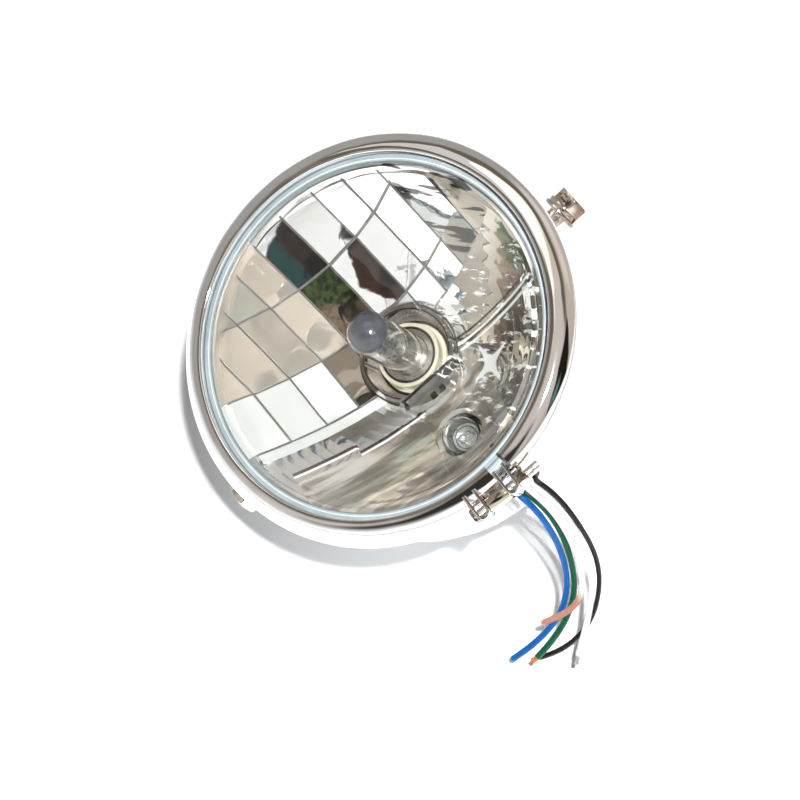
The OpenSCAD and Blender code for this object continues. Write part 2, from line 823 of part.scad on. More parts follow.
module bulb_shield() {
    spoon_r = 0.32 * bulb_glass_d;
    spoon_t = 0.4;
    color("darkgray") {
        // Half sleeve under the low beam filament, closed in front
        difference() {
            along_y()
                translate([0, 0, low_filament_y - 2])
                    cylinder(r = spoon_r, h = filament_len + 3);
            along_y()
                translate([0, 0, low_filament_y - 2 + spoon_t])
                    cylinder(r = spoon_r - spoon_t, h = filament_len + 3);
            translate([-glass_r, tip_y, -1])
                cube([2 * glass_r, bulb_reach, 2 * glass_r]);
        }
        // Its post, down to the floor of the cup
        translate([0, low_filament_y, -spoon_r])
            along_y()
                cylinder(r = 0.5, h = glass_foot_y - low_filament_y);
    }
}

// One coil along Y between two posts
module filament(from_y, front_post, back_post) {
    translate([0, from_y, 0])
        along_y()
            cylinder(r = 0.7, h = filament_len);
    for (end = [[front_post, from_y + 0.4], [back_post, from_y + filament_len - 0.4]]) {
        // Crossbar from the coil's end to its post, then the post down to the floor
        translate([0, end[1], 0])
            rotate([0, end[0][1] > 0 ? 0 : 90 * sign(end[0][0]), 0])
                cylinder(r = 0.3, h = norm(end[0]));
        translate([end[0][0], end[1] - 0.3, end[0][1]])
            along_y()
                cylinder(r = 0.3, h = glass_foot_y - end[1] + 0.3);
    }
}

module bulb_filaments() {
    color("dimgray") {
        filament(low_filament_y, [2.6, 0], [-2.6, 0]);
        filament(high_filament_y, [0, 2.6], [-2.6, 0]);
    }
}

module bulb_base() {
    color("wheat")
        along_y()
            difference() {
                union() {
                    translate([0, 0, seat_y - bulb_cup_h])
                        cylinder(r = bulb_cup_r, h = bulb_cup_h + bulb_flange_t / 2);
                    // Flange with three lugs
                    translate([0, 0, seat_y])
                        linear_extrude(bulb_flange_t) {
                            circle(d = bulb_flange_d);
                            for (turn = [90, 210, 330])
                                rotate(turn)
                                    translate([bulb_flange_d / 2 - base_lug, -3])
                                        square([2 * base_lug, 6]);
                        }
                    translate([0, 0, seat_y + bulb_flange_t / 2])
                        cylinder(r = barrel_r, h = bulb_flange_t / 2 + barrel_len);
                }
                translate([0, 0, seat_y - bulb_cup_h - 1])
                    cylinder(r = glass_r + running_gap, h = glass_foot_y - seat_y + bulb_cup_h + 1);
            }
}

// The three blades, widened and lengthened by spare all round
module blades(spare) {
    half = blade_w / 2 + spare;
    thick = blade_t / 2 + spare;
    for (side = [-1, 1])
        translate([side * blade_out - thick, barrel_back_y, -half])
            cube([2 * thick, blade_len + spare, 2 * half]);
    translate([-half, barrel_back_y, blade_out - thick])
        cube([2 * half, blade_len + spare, 2 * thick]);
}

module bulb_contacts() {
    color("lightgray")
        blades(0);
}

module bulb_plug() {
    half_x = blade_out + 5;
    low_z = -blade_w / 2 - 4;
    high_z = blade_out + 4;
    corner = 3;
    color("black")
        difference() {
            upright(plug_front_y, plug_back_y)
                polygon([
                    [-half_x, low_z], [half_x, low_z],
                    [half_x, high_z - corner], [half_x - corner, high_z],
                    [corner - half_x, high_z], [-half_x, high_z - corner]
                ]);
            blades(running_gap);
        }
}

module bulb_clip() {
    wire_r = clip_wire_d / 2;
    ring_r = 0.82 * bulb_flange_d / 2;
    clip_y = seat_y + bulb_flange_t + wire_r;
    foot_x = bulb_flange_d / 2 + wire_r + 0.4;
    color("lightgray") {
        // Sprung ring behind the flange, open at the bottom
        difference() {
            translate([0, clip_y, 0])
                along_y()
                    rotate_extrude()
                        translate([ring_r, 0])
                            circle(r = wire_r);
            translate([-4, clip_y - clip_wire_d, -2 * ring_r])
                cube([8, 2 * clip_wire_d, 2 * ring_r]);
        }
        // Arms to the neck's rear face, each ending in a foot
        both_sides() {
            translate([ring_r, clip_y, 0])
                along_x()
                    cylinder(r = wire_r, h = foot_x - ring_r);
            translate([foot_x, seat_y, 0])
                along_y()
                    cylinder(r = wire_r, h = bulb_flange_t + wire_r);
            translate([foot_x, clip_y, 0])
                sphere(r = wire_r);
        }
    }
}

module bulb_boot() {
    wide_r = neck_r + running_gap;
    narrow_r = barrel_r + running_gap;
    front_y = seat_y - 4;
    bend_y = seat_y + bulb_flange_t + 2 * clip_wire_d;
    tail_y = barrel_back_y - 5;
    color("darkslategray")
        along_y()
            rotate_extrude()
                polygon([
                    [wide_r, front_y],
                    [wide_r + boot_wall, front_y],
                    [wide_r + boot_wall, bend_y + boot_wall],
                    [narrow_r + boot_wall, tail_y],
                    [narrow_r + boot_wall, tail_y + 3],
                    [narrow_r, tail_y + 3],
                    [narrow_r, tail_y],
                    [wide_r, bend_y]
                ]);
}

module parking_globe() {
    glass_t = 0.6;
    neck = 0.68 * park_globe_r;
    color("aliceblue")
        translate([0, globe_y, -park_drop])
            along_y()
                difference() {
                    union() {
                        sphere(r = park_globe_r);
                        cylinder(r = neck, h = park_foot_y - globe_y);
                    }
                    sphere(r = park_globe_r - glass_t);
                    cylinder(r = neck - glass_t, h = park_foot_y - globe_y + 1);
                }
}

module parking_cap() {
    color("lightgray")
        translate([0, park_cap_y, -park_drop])
            along_y() {
                difference() {
                    cylinder(r = park_cap_r, h = park_cap_len);
                    translate([0, 0, -1])
                        cylinder(r = 0.68 * park_globe_r + running_gap, h = park_foot_y - park_cap_y + 1);
                }
                // Contact in the middle of the cap's end
                translate([0, 0, park_cap_len - 0.5])
                    cylinder(r = 2, h = 1.5);
            }
}

module parking_filament() {
    half = 0.36 * park_globe_r;
    color("dimgray")
        translate([0, globe_y, -park_drop]) {
            translate([-half, 0, 0])
                along_x()
                    cylinder(r = 0.45, h = 2 * half);
            both_sides()
                translate([half, -0.3, 0])
                    along_y()
                        cylinder(r = 0.3, h = park_foot_y - globe_y + 0.3);
        }
}

module parking_holder() {
    bore_r = park_cap_r + running_gap;
    sleeve_r = min(bore_r + holder_wall, park_hole_r - running_gap);
    color("black")
        translate([0, 0, -park_drop])
            along_y()
                difference() {
                    union() {
                        translate([0, 0, park_cap_y + 4])
                            cylinder(r = sleeve_r, h = holder_back_y - park_cap_y - 4);
                        translate([0, 0, park_boss_y])
                            cylinder(r = park_hole_r + 2, h = holder_flange_t);
                    }
                    translate([0, 0, park_cap_y])
                        cylinder(r = bore_r, h = park_floor_y - park_cap_y);
                }
}

// Solid inside the shell's outline, moved in by inset, from front_y to the back
module shell_form(inset, front_y) {
    bend = [
        for (i = [0 : dome_rings])
            let(a = 90 * i / dome_rings)
            [(shell_r - inset) * cos(a), shell_bend + (shell_dome - inset) * sin(a)]
    ];
    along_y()
        rotate_extrude()
            polygon(concat([[0, front_y], [shell_r - inset, front_y]], bend));
}

// A child drawn in the grommet's own frame, with Z out of the shell
module at_grommet() {
    rotate([0, -grommet_turn, 0])
        translate([0, grommet_y, -shell_radius(grommet_y)])
            rotate([180 + grommet_lean, 0, 0])
                children();
}

module shell() {
    color("gainsboro")
        difference() {
            union() {
                shell_form(0, bead_y);
                // Edge rolled outwards, for the ring to hook over
                along_y()
                    rotate_extrude()
                        translate([bead_mid_r, bead_y])
                            difference() {
                                circle(r = bead_r);
                                circle(r = bead_r - shell_wall);
                                translate([-2 * bead_r, 0])
                                    square(2 * bead_r);
                            }
                both_sides()
                    along_x()
                        cylinder(r = seat_r, h = seat_out);
            }
            shell_form(shell_wall, lens_front_y);
            both_sides()
                along_x() {
                    cylinder(r = seat_r - shell_wall, h = seat_out - shell_wall);
                    cylinder(d = bolt_d + 2 * running_gap, h = seat_out + 1);
                }
            at_grommet()
                translate([0, 0, -2 * grommet_r])
                    cylinder(r = grommet_neck_r + running_gap, h = 4 * grommet_r);
        }
}

module side_nuts() {
    color("silver")
        both_sides()
            translate([seat_out - shell_wall, 0, 0])
                mirror([1, 0, 0])
                    along_x()
                        difference() {
                            hex_prism(bolt_af, bolt_nut_h);
                            translate([0, 0, -1])
                                cylinder(d = bolt_d + 2 * thread_gap, h = bolt_nut_h + 2);
                        }
}

module side_bolts() {
    color("silver")
        both_sides()
            along_x() {
                translate([0, 0, head_x])
                    hex_prism(bolt_af, bolt_head_h);
                translate([0, 0, head_x - bolt_len])
                    cylinder(d = bolt_d, h = bolt_len + 0.5);
            }
}

module spring_washers() {
    color("silver")
        both_sides()
            translate([spring_x, 0, 0])
                along_x()
                    difference() {
                        tube(bolt_d / 2 + running_gap, spring_d / 2, spring_t);
                        // Slanting slit
                        rotate([25, 0, 0])
                            translate([bolt_d / 4, -spring_slit / 2, -spring_t])
                                cube([spring_d, spring_slit, 4 * spring_t]);
                    }
}

module flat_washers() {
    color("silver")
        both_sides()
            translate([washer_x, 0, 0])
                along_x()
                    tube(bolt_d / 2 + running_gap, washer_d / 2, washer_t);
}

module cable_grommet() {
    color("black") {
        // Outer flange, shaped to the shell
        difference() {
            at_grommet()
                translate([0, 0, -2])
                    cylinder(r = grommet_r, h = grommet_out + 2);
            shell_form(-seat_gap, bead_y);
        }
        // Inner flange
        intersection() {
            at_grommet()
                translate([0, 0, -grommet_in])
                    cylinder(r = grommet_r, h = grommet_in + 1);
            shell_form(shell_wall + seat_gap, bead_y);
        }
        at_grommet()
            translate([0, 0, -grommet_in])
                cylinder(r = grommet_neck_r, h = grommet_in + grommet_out);
    }
}

// Lead inside the shell, from a plug or holder to the grommet's inner face
module inner_lead(start, bend, uv, d) {
    leaving = [start, start + [0, 5, 0]];
    arriving = [grommet_point(uv, -grommet_in - 4), grommet_point(uv, -grommet_in)];
    swept_tube(concat(leaving, bend, arriving), d);
}

module inner_leads() {
    color("royalblue")
        inner_lead(
            [-8, plug_back_y, 0], [[-9, 57, -16], [-9, 49, -38], [-8, 32, -58], [-3, 12, -64]], blue_at, lead_d
        );
    color("seagreen")
        inner_lead(
            [0, plug_back_y, 8], [[-3, 62, -2], [-5, 58, -28], [-4, 44, -49], [0, 22, -62]], green_at, lead_d
        );
    color("white") {
        inner_lead(
            [8, plug_back_y, 0], [[9, 58, -16], [8, 50, -38], [7, 34, -56], [8, 14, -63]], white_back_at, lead_d
        );
        inner_lead(
            [2, holder_back_y, -park_drop], [[3, 20, -51], [4, 20, -57], [5, 10, -63]], white_front_at, lead_d
        );
    }
    color("dimgray")
        inner_lead(
            [6, plug_back_y, 9], [[12, 62, -6], [15, 54, -34], [15, 36, -54], [13, 14, -63]], black_at, black_lead_d
        );
}

module lead_blue() {
    color("royalblue")
        free_lead(blue_at, blue_route, lead_d);
}

module lead_green() {
    color("seagreen")
        free_lead(green_at, green_route, lead_d);
}

module lead_white_front() {
    color("white")
        free_lead(white_front_at, white_front_route, lead_d);
}

module lead_white_back() {
    color("white")
        free_lead(white_back_at, white_back_route, lead_d);
}

module lead_black() {
    color("dimgray")
        free_lead(black_at, black_route, black_lead_d);
}

rim_ring();
clamp_screw();
clamp_nut();
clamp_spacer();
lens();
lens_gasket();
reflector();
bulb_glass();
bulb_tip_coat();
bulb_shield();
bulb_filaments();
bulb_base();
bulb_contacts();
bulb_clip();
bulb_boot();
bulb_plug();
parking_globe();
parking_cap();
parking_filament();
parking_holder();
shell();
side_nuts();
side_bolts();
spring_washers();
flat_washers();
cable_grommet();
inner_leads();
lead_blue();
lead_green();
lead_white_front();
lead_white_back();
lead_black();
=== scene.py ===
import logging
import math
from dataclasses import dataclass
from enum import Enum

import bmesh
import bpy
from mathutils import Matrix, Vector


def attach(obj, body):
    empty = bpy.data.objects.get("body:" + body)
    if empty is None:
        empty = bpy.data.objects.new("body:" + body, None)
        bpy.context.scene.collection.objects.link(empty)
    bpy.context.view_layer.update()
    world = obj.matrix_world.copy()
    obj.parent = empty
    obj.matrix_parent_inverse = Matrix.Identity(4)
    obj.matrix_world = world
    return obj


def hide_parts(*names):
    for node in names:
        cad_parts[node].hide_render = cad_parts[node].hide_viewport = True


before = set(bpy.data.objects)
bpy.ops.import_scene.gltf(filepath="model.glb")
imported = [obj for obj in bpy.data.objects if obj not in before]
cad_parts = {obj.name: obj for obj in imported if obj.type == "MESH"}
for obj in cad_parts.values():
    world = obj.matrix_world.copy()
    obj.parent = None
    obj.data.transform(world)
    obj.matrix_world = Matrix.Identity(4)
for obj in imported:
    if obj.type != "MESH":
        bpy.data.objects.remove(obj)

LOG = logging.getLogger("headlight")
MM = 0.001
Socket = bpy.types.NodeSocket
Material = bpy.types.Material
Piece = bpy.types.Object
Triple = tuple[float, float, float]
Pair = tuple[float, float]
Shades = tuple[Triple, Triple]
Value = "Flow | float"
WHITE = (1.0, 1.0, 1.0)
BUMP_REACH = 10.0  # distance of a bump node for each metre of wave height


# Routes of the loose leads below the grommet, in millimetres
ROUTES = {
    "blue": [
        (2, -2.75, -82.75), (2.25, -0.25, -85), (2, 3.5, -88.5), (1, 6.5, -91.5),
        (0, 10, -94.5), (-1, 13, -97), (-2, 15.5, -99), (-3.5, 18.5, -101), (-5, 21, -103),
        (-6.5, 23.5, -105.5), (-8.5, 26, -108), (-11.5, 28, -110.5), (-15, 30, -113),
        (-18.5, 32, -115.5), (-23, 33, -116.5), (-27.5, 34, -117.5), (-32, 34.5, -118),
        (-36.5, 35, -118), (-41, 35, -118), (-45.5, 35, -117.5), (-50, 35, -117),
    ],
    "green": [
        (4.25, 0.25, -82.5), (4.75, 3, -84.5), (4.5, 6.5, -88), (4, 9.5, -91),
        (3, 12.5, -93.5), (2, 15.5, -96), (0.5, 18.5, -98), (-0.5, 21, -100.5),
        (-2.5, 23.5, -103), (-4, 26, -105), (-6, 28.5, -107.5), (-8.5, 31, -110.5),
        (-11.5, 33, -113), (-14.5, 34.5, -115), (-18.5, 36, -117.5), (-23, 37, -119),
        (-27.5, 38, -120), (-31.5, 38.5, -121), (-36.5, 39, -122), (-41, 39, -122),
        (-45.5, 39, -122.5),
    ],
    "white_front": [
        (6.25, -3.25, -82.25), (6.5, -1, -84.5), (7, 2.5, -88), (6.5, 5.5, -92),
        (5.5, 8.5, -95), (4.5, 11, -97.5), (4, 13.5, -100), (2.5, 16.5, -102.5),
        (1, 19, -105.5), (-0.5, 21, -108), (-2.5, 23.5, -111), (-5, 26, -114),
        (-8, 28, -117), (-12, 29, -119), (-16.5, 29.5, -119), (-21, 29.5, -118),
        (-25.5, 29, -116.5), (-29.5, 29, -115),
    ],
    "white_back": [
        (8.5, -0.5, -82.25), (9, 2, -84.5), (9.5, 5.5, -87.5), (9.5, 9, -91.5),
        (8.5, 12, -94.5), (7.5, 14.5, -97.5), (6.5, 17, -100.5), (5, 19.5, -103.5),
        (4, 21.5, -106), (3, 23.5, -109), (0.5, 25.5, -112.5), (-1.5, 27.5, -115),
        (-4.5, 29, -118), (-8, 30.5, -120.5), (-11, 31.5, -123), (-15, 33, -125.5),
        (-18.5, 33.5, -128), (-22.5, 34.5, -130.5), (-26.5, 35, -133), (-30, 36, -135.5),
    ],
    "black": [
        (11, -2.5, -82.25), (11.5, 0, -84.5), (12, 3, -88), (11.5, 6, -91.5), (11, 9, -95),
        (10, 12, -97.5), (9.5, 15, -100), (8.5, 18, -102.5), (7.5, 21, -105),
        (6.5, 24, -107), (5, 27, -109.5), (3, 30, -112.5), (0.5, 32.5, -115),
        (-2.5, 35, -117.5), (-6, 37, -120), (-10, 39, -122.5), (-13.5, 40.5, -124),
        (-18.5, 42, -125.5), (-23, 42.5, -126), (-27.5, 43, -126), (-32.5, 43.5, -125.5),
        (-36.5, 43.5, -124), (-40.5, 43, -122.5), (-45, 43, -120.5),
    ],
}


class FarEnd(Enum):
    """How a loose lead ends."""

    BARE = "bare"


class Flow:
    """A shader socket that takes part in Python expressions; each operator adds a Math node."""

    def __init__(self, tree: bpy.types.NodeTree, socket: Socket) -> None:
        """Keep the tree and the socket."""
        self.tree = tree
        self.socket = socket

    def _math(self, operation: str, first: Value, second: Value = 0.0) -> "Flow":
        """Add a Math node.

        Args:
            operation: the node's operation.
            first: value or socket of the first input.
            second: value or socket of the second input.

        Returns:
            The node's output as a Flow.
        """
        node = self.tree.nodes.new("ShaderNodeMath")
        node.operation = operation
        for place, value in enumerate((first, second)):
            if isinstance(value, Flow):
                self.tree.links.new(value.socket, node.inputs[place])
            else:
                node.inputs[place].default_value = value
        return Flow(self.tree, node.outputs[0])

    def __add__(self, other: Value) -> "Flow":
        """Sum."""
        return self._math("ADD", self, other)

    def __radd__(self, other: float) -> "Flow":
        """Sum, reflected."""
        return self._math("ADD", other, self)

    def __sub__(self, other: Value) -> "Flow":
        """Difference."""
        return self._math("SUBTRACT", self, other)

    def __rsub__(self, other: float) -> "Flow":
        """Difference, reflected."""
        return self._math("SUBTRACT", other, self)

    def __mul__(self, other: Value) -> "Flow":
        """Product."""
        return self._math("MULTIPLY", self, other)

    def __truediv__(self, other: Value) -> "Flow":
        """Quotient."""
        return self._math("DIVIDE", self, other)

    def __gt__(self, other: Value) -> "Flow":
        """1 where this is greater, else 0."""
        return self._math("GREATER_THAN", self, other)

    def __lt__(self, other: Value) -> "Flow":
        """1 where this is less, else 0."""
        return self._math("LESS_THAN", self, other)

    def __abs__(self) -> "Flow":
        """Absolute value."""
        return self._math("ABSOLUTE", self)

    def root(self) -> "Flow":
        """Square root."""
        return self._math("SQRT", self)

    def part(self) -> "Flow":
        """Part behind the decimal point."""
        return self._math("FRACT", self)

    def between(self, low: float, high: float) -> "Flow":
        """Ramp from 0 at low to 1 at high, held at both ends.

        Args:
            low: value that gives 0.
            high: value that gives 1.

        Returns:
            The smoothed ramp.
        """
        node = self.tree.nodes.new("ShaderNodeMapRange")
        node.interpolation_type = "SMOOTHSTEP"
        self.tree.links.new(self.socket, node.inputs[0])
        node.inputs[1].default_value = low
        node.inputs[2].default_value = high
        return Flow(self.tree, node.outputs[0])


class Graph:
    """Shader tree of one material or world, with one method that adds any node."""

    def __init__(self, tree: bpy.types.NodeTree) -> None:
        """Empty the tree and keep it."""
        self.tree = tree
        tree.nodes.clear()

    def node(
        self, kind: str, settings: dict | None = None, out: int | str = 0, **inputs: object
    ) -> Flow | None:
        """Add a node.

        Args:
            kind: node type without the ShaderNode prefix.
            settings: node settings, set before its sockets.
            out: output that is returned.
            **inputs: values or Flows by socket name, with _ for a blank, or iN for the Nth socket.

        Returns:
            The chosen output as a Flow, or None for an output node.
        """
        node = self.tree.nodes.new("ShaderNode" + kind)
        for name, value in (settings or {}).items():
            setattr(node, name, value)
        for name, value in inputs.items():
            numbered = name[0] == "i" and name[1:].isdigit()
            socket = node.inputs[int(name[1:]) if numbered else name.replace("_", " ")]
            if isinstance(value, Flow):
                self.tree.links.new(value.socket, socket)
            else:
                socket.default_value = value
        return Flow(self.tree, node.outputs[out]) if len(node.outputs) else None

    def ray(self, kind: str) -> Flow:
        """1 for light rays of one kind, else 0."""
        return self.node("LightPath", out=f"Is {kind} Ray")

    def split(self, vector: Flow) -> tuple[Flow, Flow, Flow]:
        """The three parts of a vector."""
        first = self.node("SeparateXYZ", Vector=vector)
        return tuple(Flow(self.tree, output) for output in first.socket.node.outputs)

    def stretched(self, vector: Flow, scale: Triple, lean: float = 0.0) -> Flow:
        """Coordinates for a grain of a size in metres, turned round the lamp's axis in radians."""
        settings = {"vector_type": "TEXTURE"}
        return self.node("Mapping", settings, Vector=vector, Rotation=(0.0, lean, 0.0), Scale=scale)

    def noise(self, vector: Flow, scale: float, detail: float = 3.0, rough: float = 0.5) -> Flow:
        """Noise from 0 to 1 at a scale per metre."""
        return self.node("TexNoise", Vector=vector, Scale=scale, Detail=detail, Roughness=rough)

    def blend(self, factor: Flow | float, low: Flow | Triple, high: Flow | Triple) -> Flow:
        """Mix two colours.

        Args:
            factor: 0 gives low and 1 gives high.
            low: colour or Flow.
            high: colour or Flow.

        Returns:
            The mixed colour.
        """
        ends = [end if isinstance(end, Flow) else rgba(end) for end in (low, high)]
        return self.node("Mix", {"data_type": "RGBA"}, out=2, i0=factor, i6=ends[0], i7=ends[1])

    def bump(self, height: Flow, distance: float, strength: float = 1.0) -> Flow:
        """Normal from a height, with the distance in metres."""
        return self.node("Bump", Height=height, Distance=distance, Strength=strength)

    def finish(self, shader: Flow) -> None:
        """Join the shader to the output."""
        self.node("OutputMaterial", Surface=shader)

    def principled(self, **inputs: object) -> None:
        """Add the main shader with its inputs, and join it to the output."""
        self.finish(self.node("BsdfPrincipled", **inputs))


def rgba(colour: Triple) -> tuple[float, float, float, float]:
    """A colour with full alpha."""
    return (*colour, 1.0)


def blank(name: str) -> tuple[Material, Graph, Flow]:
    """Start a material.

    Args:
        name: name of the material.

    Returns:
        The material, its graph and its Object coordinates in metres.
    """
    material = bpy.data.materials.new(name)
    material.use_nodes = True
    g = Graph(material.node_tree)
    return material, g, g.node("TexCoord", out="Object")


@dataclass(frozen=True)
class Plated:
    """Bright plate on metal: mirror gloss, slight waviness, and a second tone in blotches: faint
    wiping marks, and on the bolt plate, where it is dark, painted dark reflections.
    """

    name: str
    colour: Triple = (0.86, 0.855, 0.85)
    wipe_and_reflection_tone: Triple = (0.8, 0.79, 0.78)
    roughness: float = 0.035
    wave: float = 0.00006
    wave_scale: float = 45.0
    haze_scale: float = 60.0
    speck_scale: float = 900.0
    scratch_scale: Triple = (1600.0, 90.0, 1600.0)

    def build(self) -> Material:
        """Make the material."""
        material, g, at = blank(self.name)
        haze = g.noise(at, self.haze_scale, 4.0).between(0.35, 0.75)
        specks = g.noise(at, self.speck_scale, 2.0).between(0.62, 0.8)
        waves = g.noise(at, self.wave_scale, 1.0)
        scratch = g.noise(g.node("Mapping", Vector=at, Scale=self.scratch_scale), 1.0, 2.0)
        normal = g.bump(waves + scratch * 0.004, self.wave * BUMP_REACH)
        g.principled(
            # Second tone in blotches: faint wiping marks, and painted dark reflections where it is
            # dark, as on the bolt plate
            Base_Color=g.blend(haze, self.colour, self.wipe_and_reflection_tone),
            Metallic=1.0,
            Roughness=haze * 0.03 + specks * 0.05 + self.roughness,
            Normal=normal,
        )
        return material


@dataclass(frozen=True)
class MirrorCoat:
    """Thin mirror coat on a moulding: near-perfect gloss, with grooves and tones facet by facet.

    The tones are painted reflections of what the facets mirror: a window and foliage over a dark
    frame, tan walls on the left, and the pale table. The grooves carry a painted highlight and
    painted shade, the ledges and streaks painted highlights and dark reflections, the lamp's star
    is a painted highlight, and the sockets and the lines round the collar are painted shade.
    Lengths are in millimetres.
    """

    name: str
    colour: Triple = (0.93, 0.925, 0.915)
    # Colours of painted reflections, of the grooves' painted highlight and shade, and of painted
    # highlights and dark marks; the base colour and the dust are the coat's own
    reflected_wall_tan: Triple = (0.88, 0.78, 0.67)
    reflected_wall_brown: Triple = (0.42, 0.37, 0.31)
    reflected_frame_green: Triple = (0.012, 0.05, 0.052)
    reflected_frame_black: Triple = (0.02, 0.011, 0.009)
    reflected_leaves: Shades = ((0.012, 0.03, 0.008), (0.1, 0.17, 0.05))
    reflected_wood: Shades = ((0.33, 0.21, 0.15), (0.42, 0.36, 0.28))
    brown: Triple = (0.05, 0.03, 0.025)
    reflected_floor_tan: Shades = ((0.36, 0.31, 0.26), (0.85, 0.82, 0.76))
    seam_highlight: Triple = (0.95, 0.95, 0.94)
    seam_shade: Triple = (0.1, 0.09, 0.085)
    gleam: Triple = (0.98, 0.98, 0.97)
    painted_dark: Triple = (0.05, 0.05, 0.05)
    dust: Triple = (0.78, 0.77, 0.75)
    columns: tuple[float, ...] = (0.0, 16.0, 29.0, 42.0)
    left_column: float = -55.0
    rows: Pair = (46.5, 21.0)
    left_foot: float = -4.0
    right_foot: float = 8.0
    rows_end: float = 43.0
    edge: float = 70.0
    field_r: float = 67.0
    groove: float = 0.52
    ledge_drop: float = 19.4
    ledge_turn: float = -37.4
    step: float = 4.2
    slant_slope: float = 0.306
    slant_drop: float = 6.7
    star_x: float = 25.5
    star_drop: float = 31.6
    collar_lines: Pair = (20.9, 18.8)

    def build(self) -> Material:
        """Make the material."""
        material, g, at = blank(self.name)
        x, _, z = (part * 1000.0 for part in g.split(at))
        _, first, second, _ = self.columns
        upper, lower = self.rows
        circle = (x * x + z * z).root()

        def near(value: Flow, line: float) -> Flow:
            """1 on a line between facets, 0 away from it."""
            return abs(value - line).between(self.groove, self.groove * 0.4)

        def tile(x0: float, x1: float, z0: float, z1: float) -> Flow:
            """1 inside a facet."""
            return (x > x0) * (x < x1) * (z > z0) * (z < z1)

        def stroke(line: Flow, width: float) -> Flow:
            """1 along a line, fading over its width."""
            return abs(line).between(width, width * 0.3)

        # Grooves between the facets: a groove in the bump, with a painted highlight across it and
        # painted shade along its middle
        left = x < 0.0
        foot = left * (self.left_foot - self.right_foot) + self.right_foot
        uprights = near(x, self.left_column)
        for line in self.columns:
            uprights = uprights + near(abs(x), line)
        levels = near(z, self.left_foot) * left
        for line in self.rows:
            levels = levels + near(z, line)
        inside = circle < self.field_r
        seam = (uprights * (z > foot) + levels * (x < self.rows_end)).between(0.0, 1.0) * inside
        core = seam.between(0.72, 0.97)
        below = (foot > z) * (x < 20.0)

        # Painted reflections, facet by facet: tan and brown walls, a dark green-to-black frame,
        # foliage over a brown ground, and a dark brown patch; the pale facets are made less
        # metallic, so the lamps light them white
        patch = g.noise(at, 95.0, 3.0, 0.55)
        leafy = g.noise(at, 420.0, 3.0, 0.7).between(0.42, 0.58)
        walls = tile(-self.edge, -first, lower, self.edge)
        colour = g.blend(walls, self.colour, self.reflected_wall_tan)
        brown_wall_reflection = tile(-second, -first, self.left_foot, lower)
        colour = g.blend(brown_wall_reflection, colour, self.reflected_wall_brown)
        shade_end = (z - x * 0.35 + patch * 7.0).between(69.8, 68.6)
        dark = tile(-first, 0.0, upper, self.edge) * shade_end
        to_black = (x + patch * 8.0).between(-5.5, -2.5)
        shade = g.blend(to_black, self.reflected_frame_green, self.reflected_frame_black)
        colour = g.blend(dark, colour, shade)
        green = g.blend(leafy, *self.reflected_leaves)
        reflected_wood = g.blend(leafy, *self.reflected_wood)
        low = (z + patch * 10.0 + x * 0.5).between(38.0, 33.5)
        colour = g.blend(tile(-first, 0.0, lower, upper), colour, g.blend(low, green, reflected_wood))
        dark_reflection_patch = (x * 0.8 - abs(z - 34.0) * 0.45 + patch * 7.0).between(5.5, 6.5)
        colour = g.blend(tile(0.0, first, lower, upper) * dark_reflection_patch, colour, self.brown)
        pale = tile(-self.edge, -second, self.left_foot, lower)
        pale = pale + tile(-66.0, -18.0, -9.0, self.left_foot)

        # Lower half: painted dark reflections with painted highlights beside them along a stepped
        # ledge and two slanting ones, painted sparkle streaks to the right, and the lamp's star as
        # a painted highlight
        ledge = z + self.ledge_drop + (x > self.ledge_turn) * self.step
        along = tile(-60.0, -9.0, -60.0, 0.0)
        slant = z + x * self.slant_slope + self.slant_drop
        beside = tile(18.0, 62.0, -60.0, 8.0)
        dashes = (stroke(slant, 0.7) + stroke(slant - self.step, 0.7)) * beside
        dashes = stroke(ledge, 1.1) * along + dashes
        gleams = (stroke(slant - 1.4, 0.9) + stroke(slant + 1.9, 1.0)) * beside
        gleams = stroke(ledge + 1.5, 0.8) * along + gleams
        glitter = g.noise(g.stretched(at, (0.011, 1.0, 0.0032), 0.9), 1.0, 4.0, 0.65)
        brushed = g.noise(g.stretched(at, (0.03, 1.0, 0.0045)), 1.0, 3.0, 0.6)
        sparkle = glitter.between(0.53, 0.66) * tile(4.0, 66.0, -62.0, self.right_foot)
        across, rise = abs(x - self.star_x), abs(z + self.star_drop)
        spread = (across * across + rise * rise).root()
        star = (across * rise).between(9.0, 3.0) * spread.between(14.0, 7.0)
        bright = (gleams + sparkle + star).between(0.0, 1.0)

        # Painted dark marks: shade in the sockets under the bulb and along the lines round the
        # collar, dark reflections in streaks at the upper right, and the dark reflection lines
        # along the ledges
        sockets = tile(-3.5, -0.8, -21.7, -18.9) + tile(0.8, 3.5, -21.7, -18.9)
        sockets = sockets + stroke(z + 15.4, 0.9) * tile(-14.5, 14.5, -17.0, -13.5)
        dark_reflection_streaks = g.noise(g.stretched(at, (0.0045, 1.0, 0.03), -0.6), 1.0, 3.0, 0.55)
        dark_reflection_streaks = dark_reflection_streaks.between(0.54, 0.6) * tile(42.5, 66.0, self.right_foot, 52.0)
        outer, inner = self.collar_lines
        outline = (stroke(circle - outer, 0.7) + stroke(circle - inner, 0.45)) * (z > -13.5)
        marks = (dashes + outline + sockets + dark_reflection_streaks).between(0.0, 1.0) * 0.9

        # Painted highlight across each groove, then painted shade along its middle
        colour = g.blend(seam, colour, self.seam_highlight)
        colour = g.blend(core * 0.85, colour, self.seam_shade)
        # Lower bowl: a painted tan reflection with brushed streaks, made partly less metallic below
        floor = tile(-60.0, 22.0, -66.0, -24.0)
        tan = g.blend(brushed.between(0.4, 0.64), *self.reflected_floor_tan)
        colour = g.blend(floor, colour, tan)
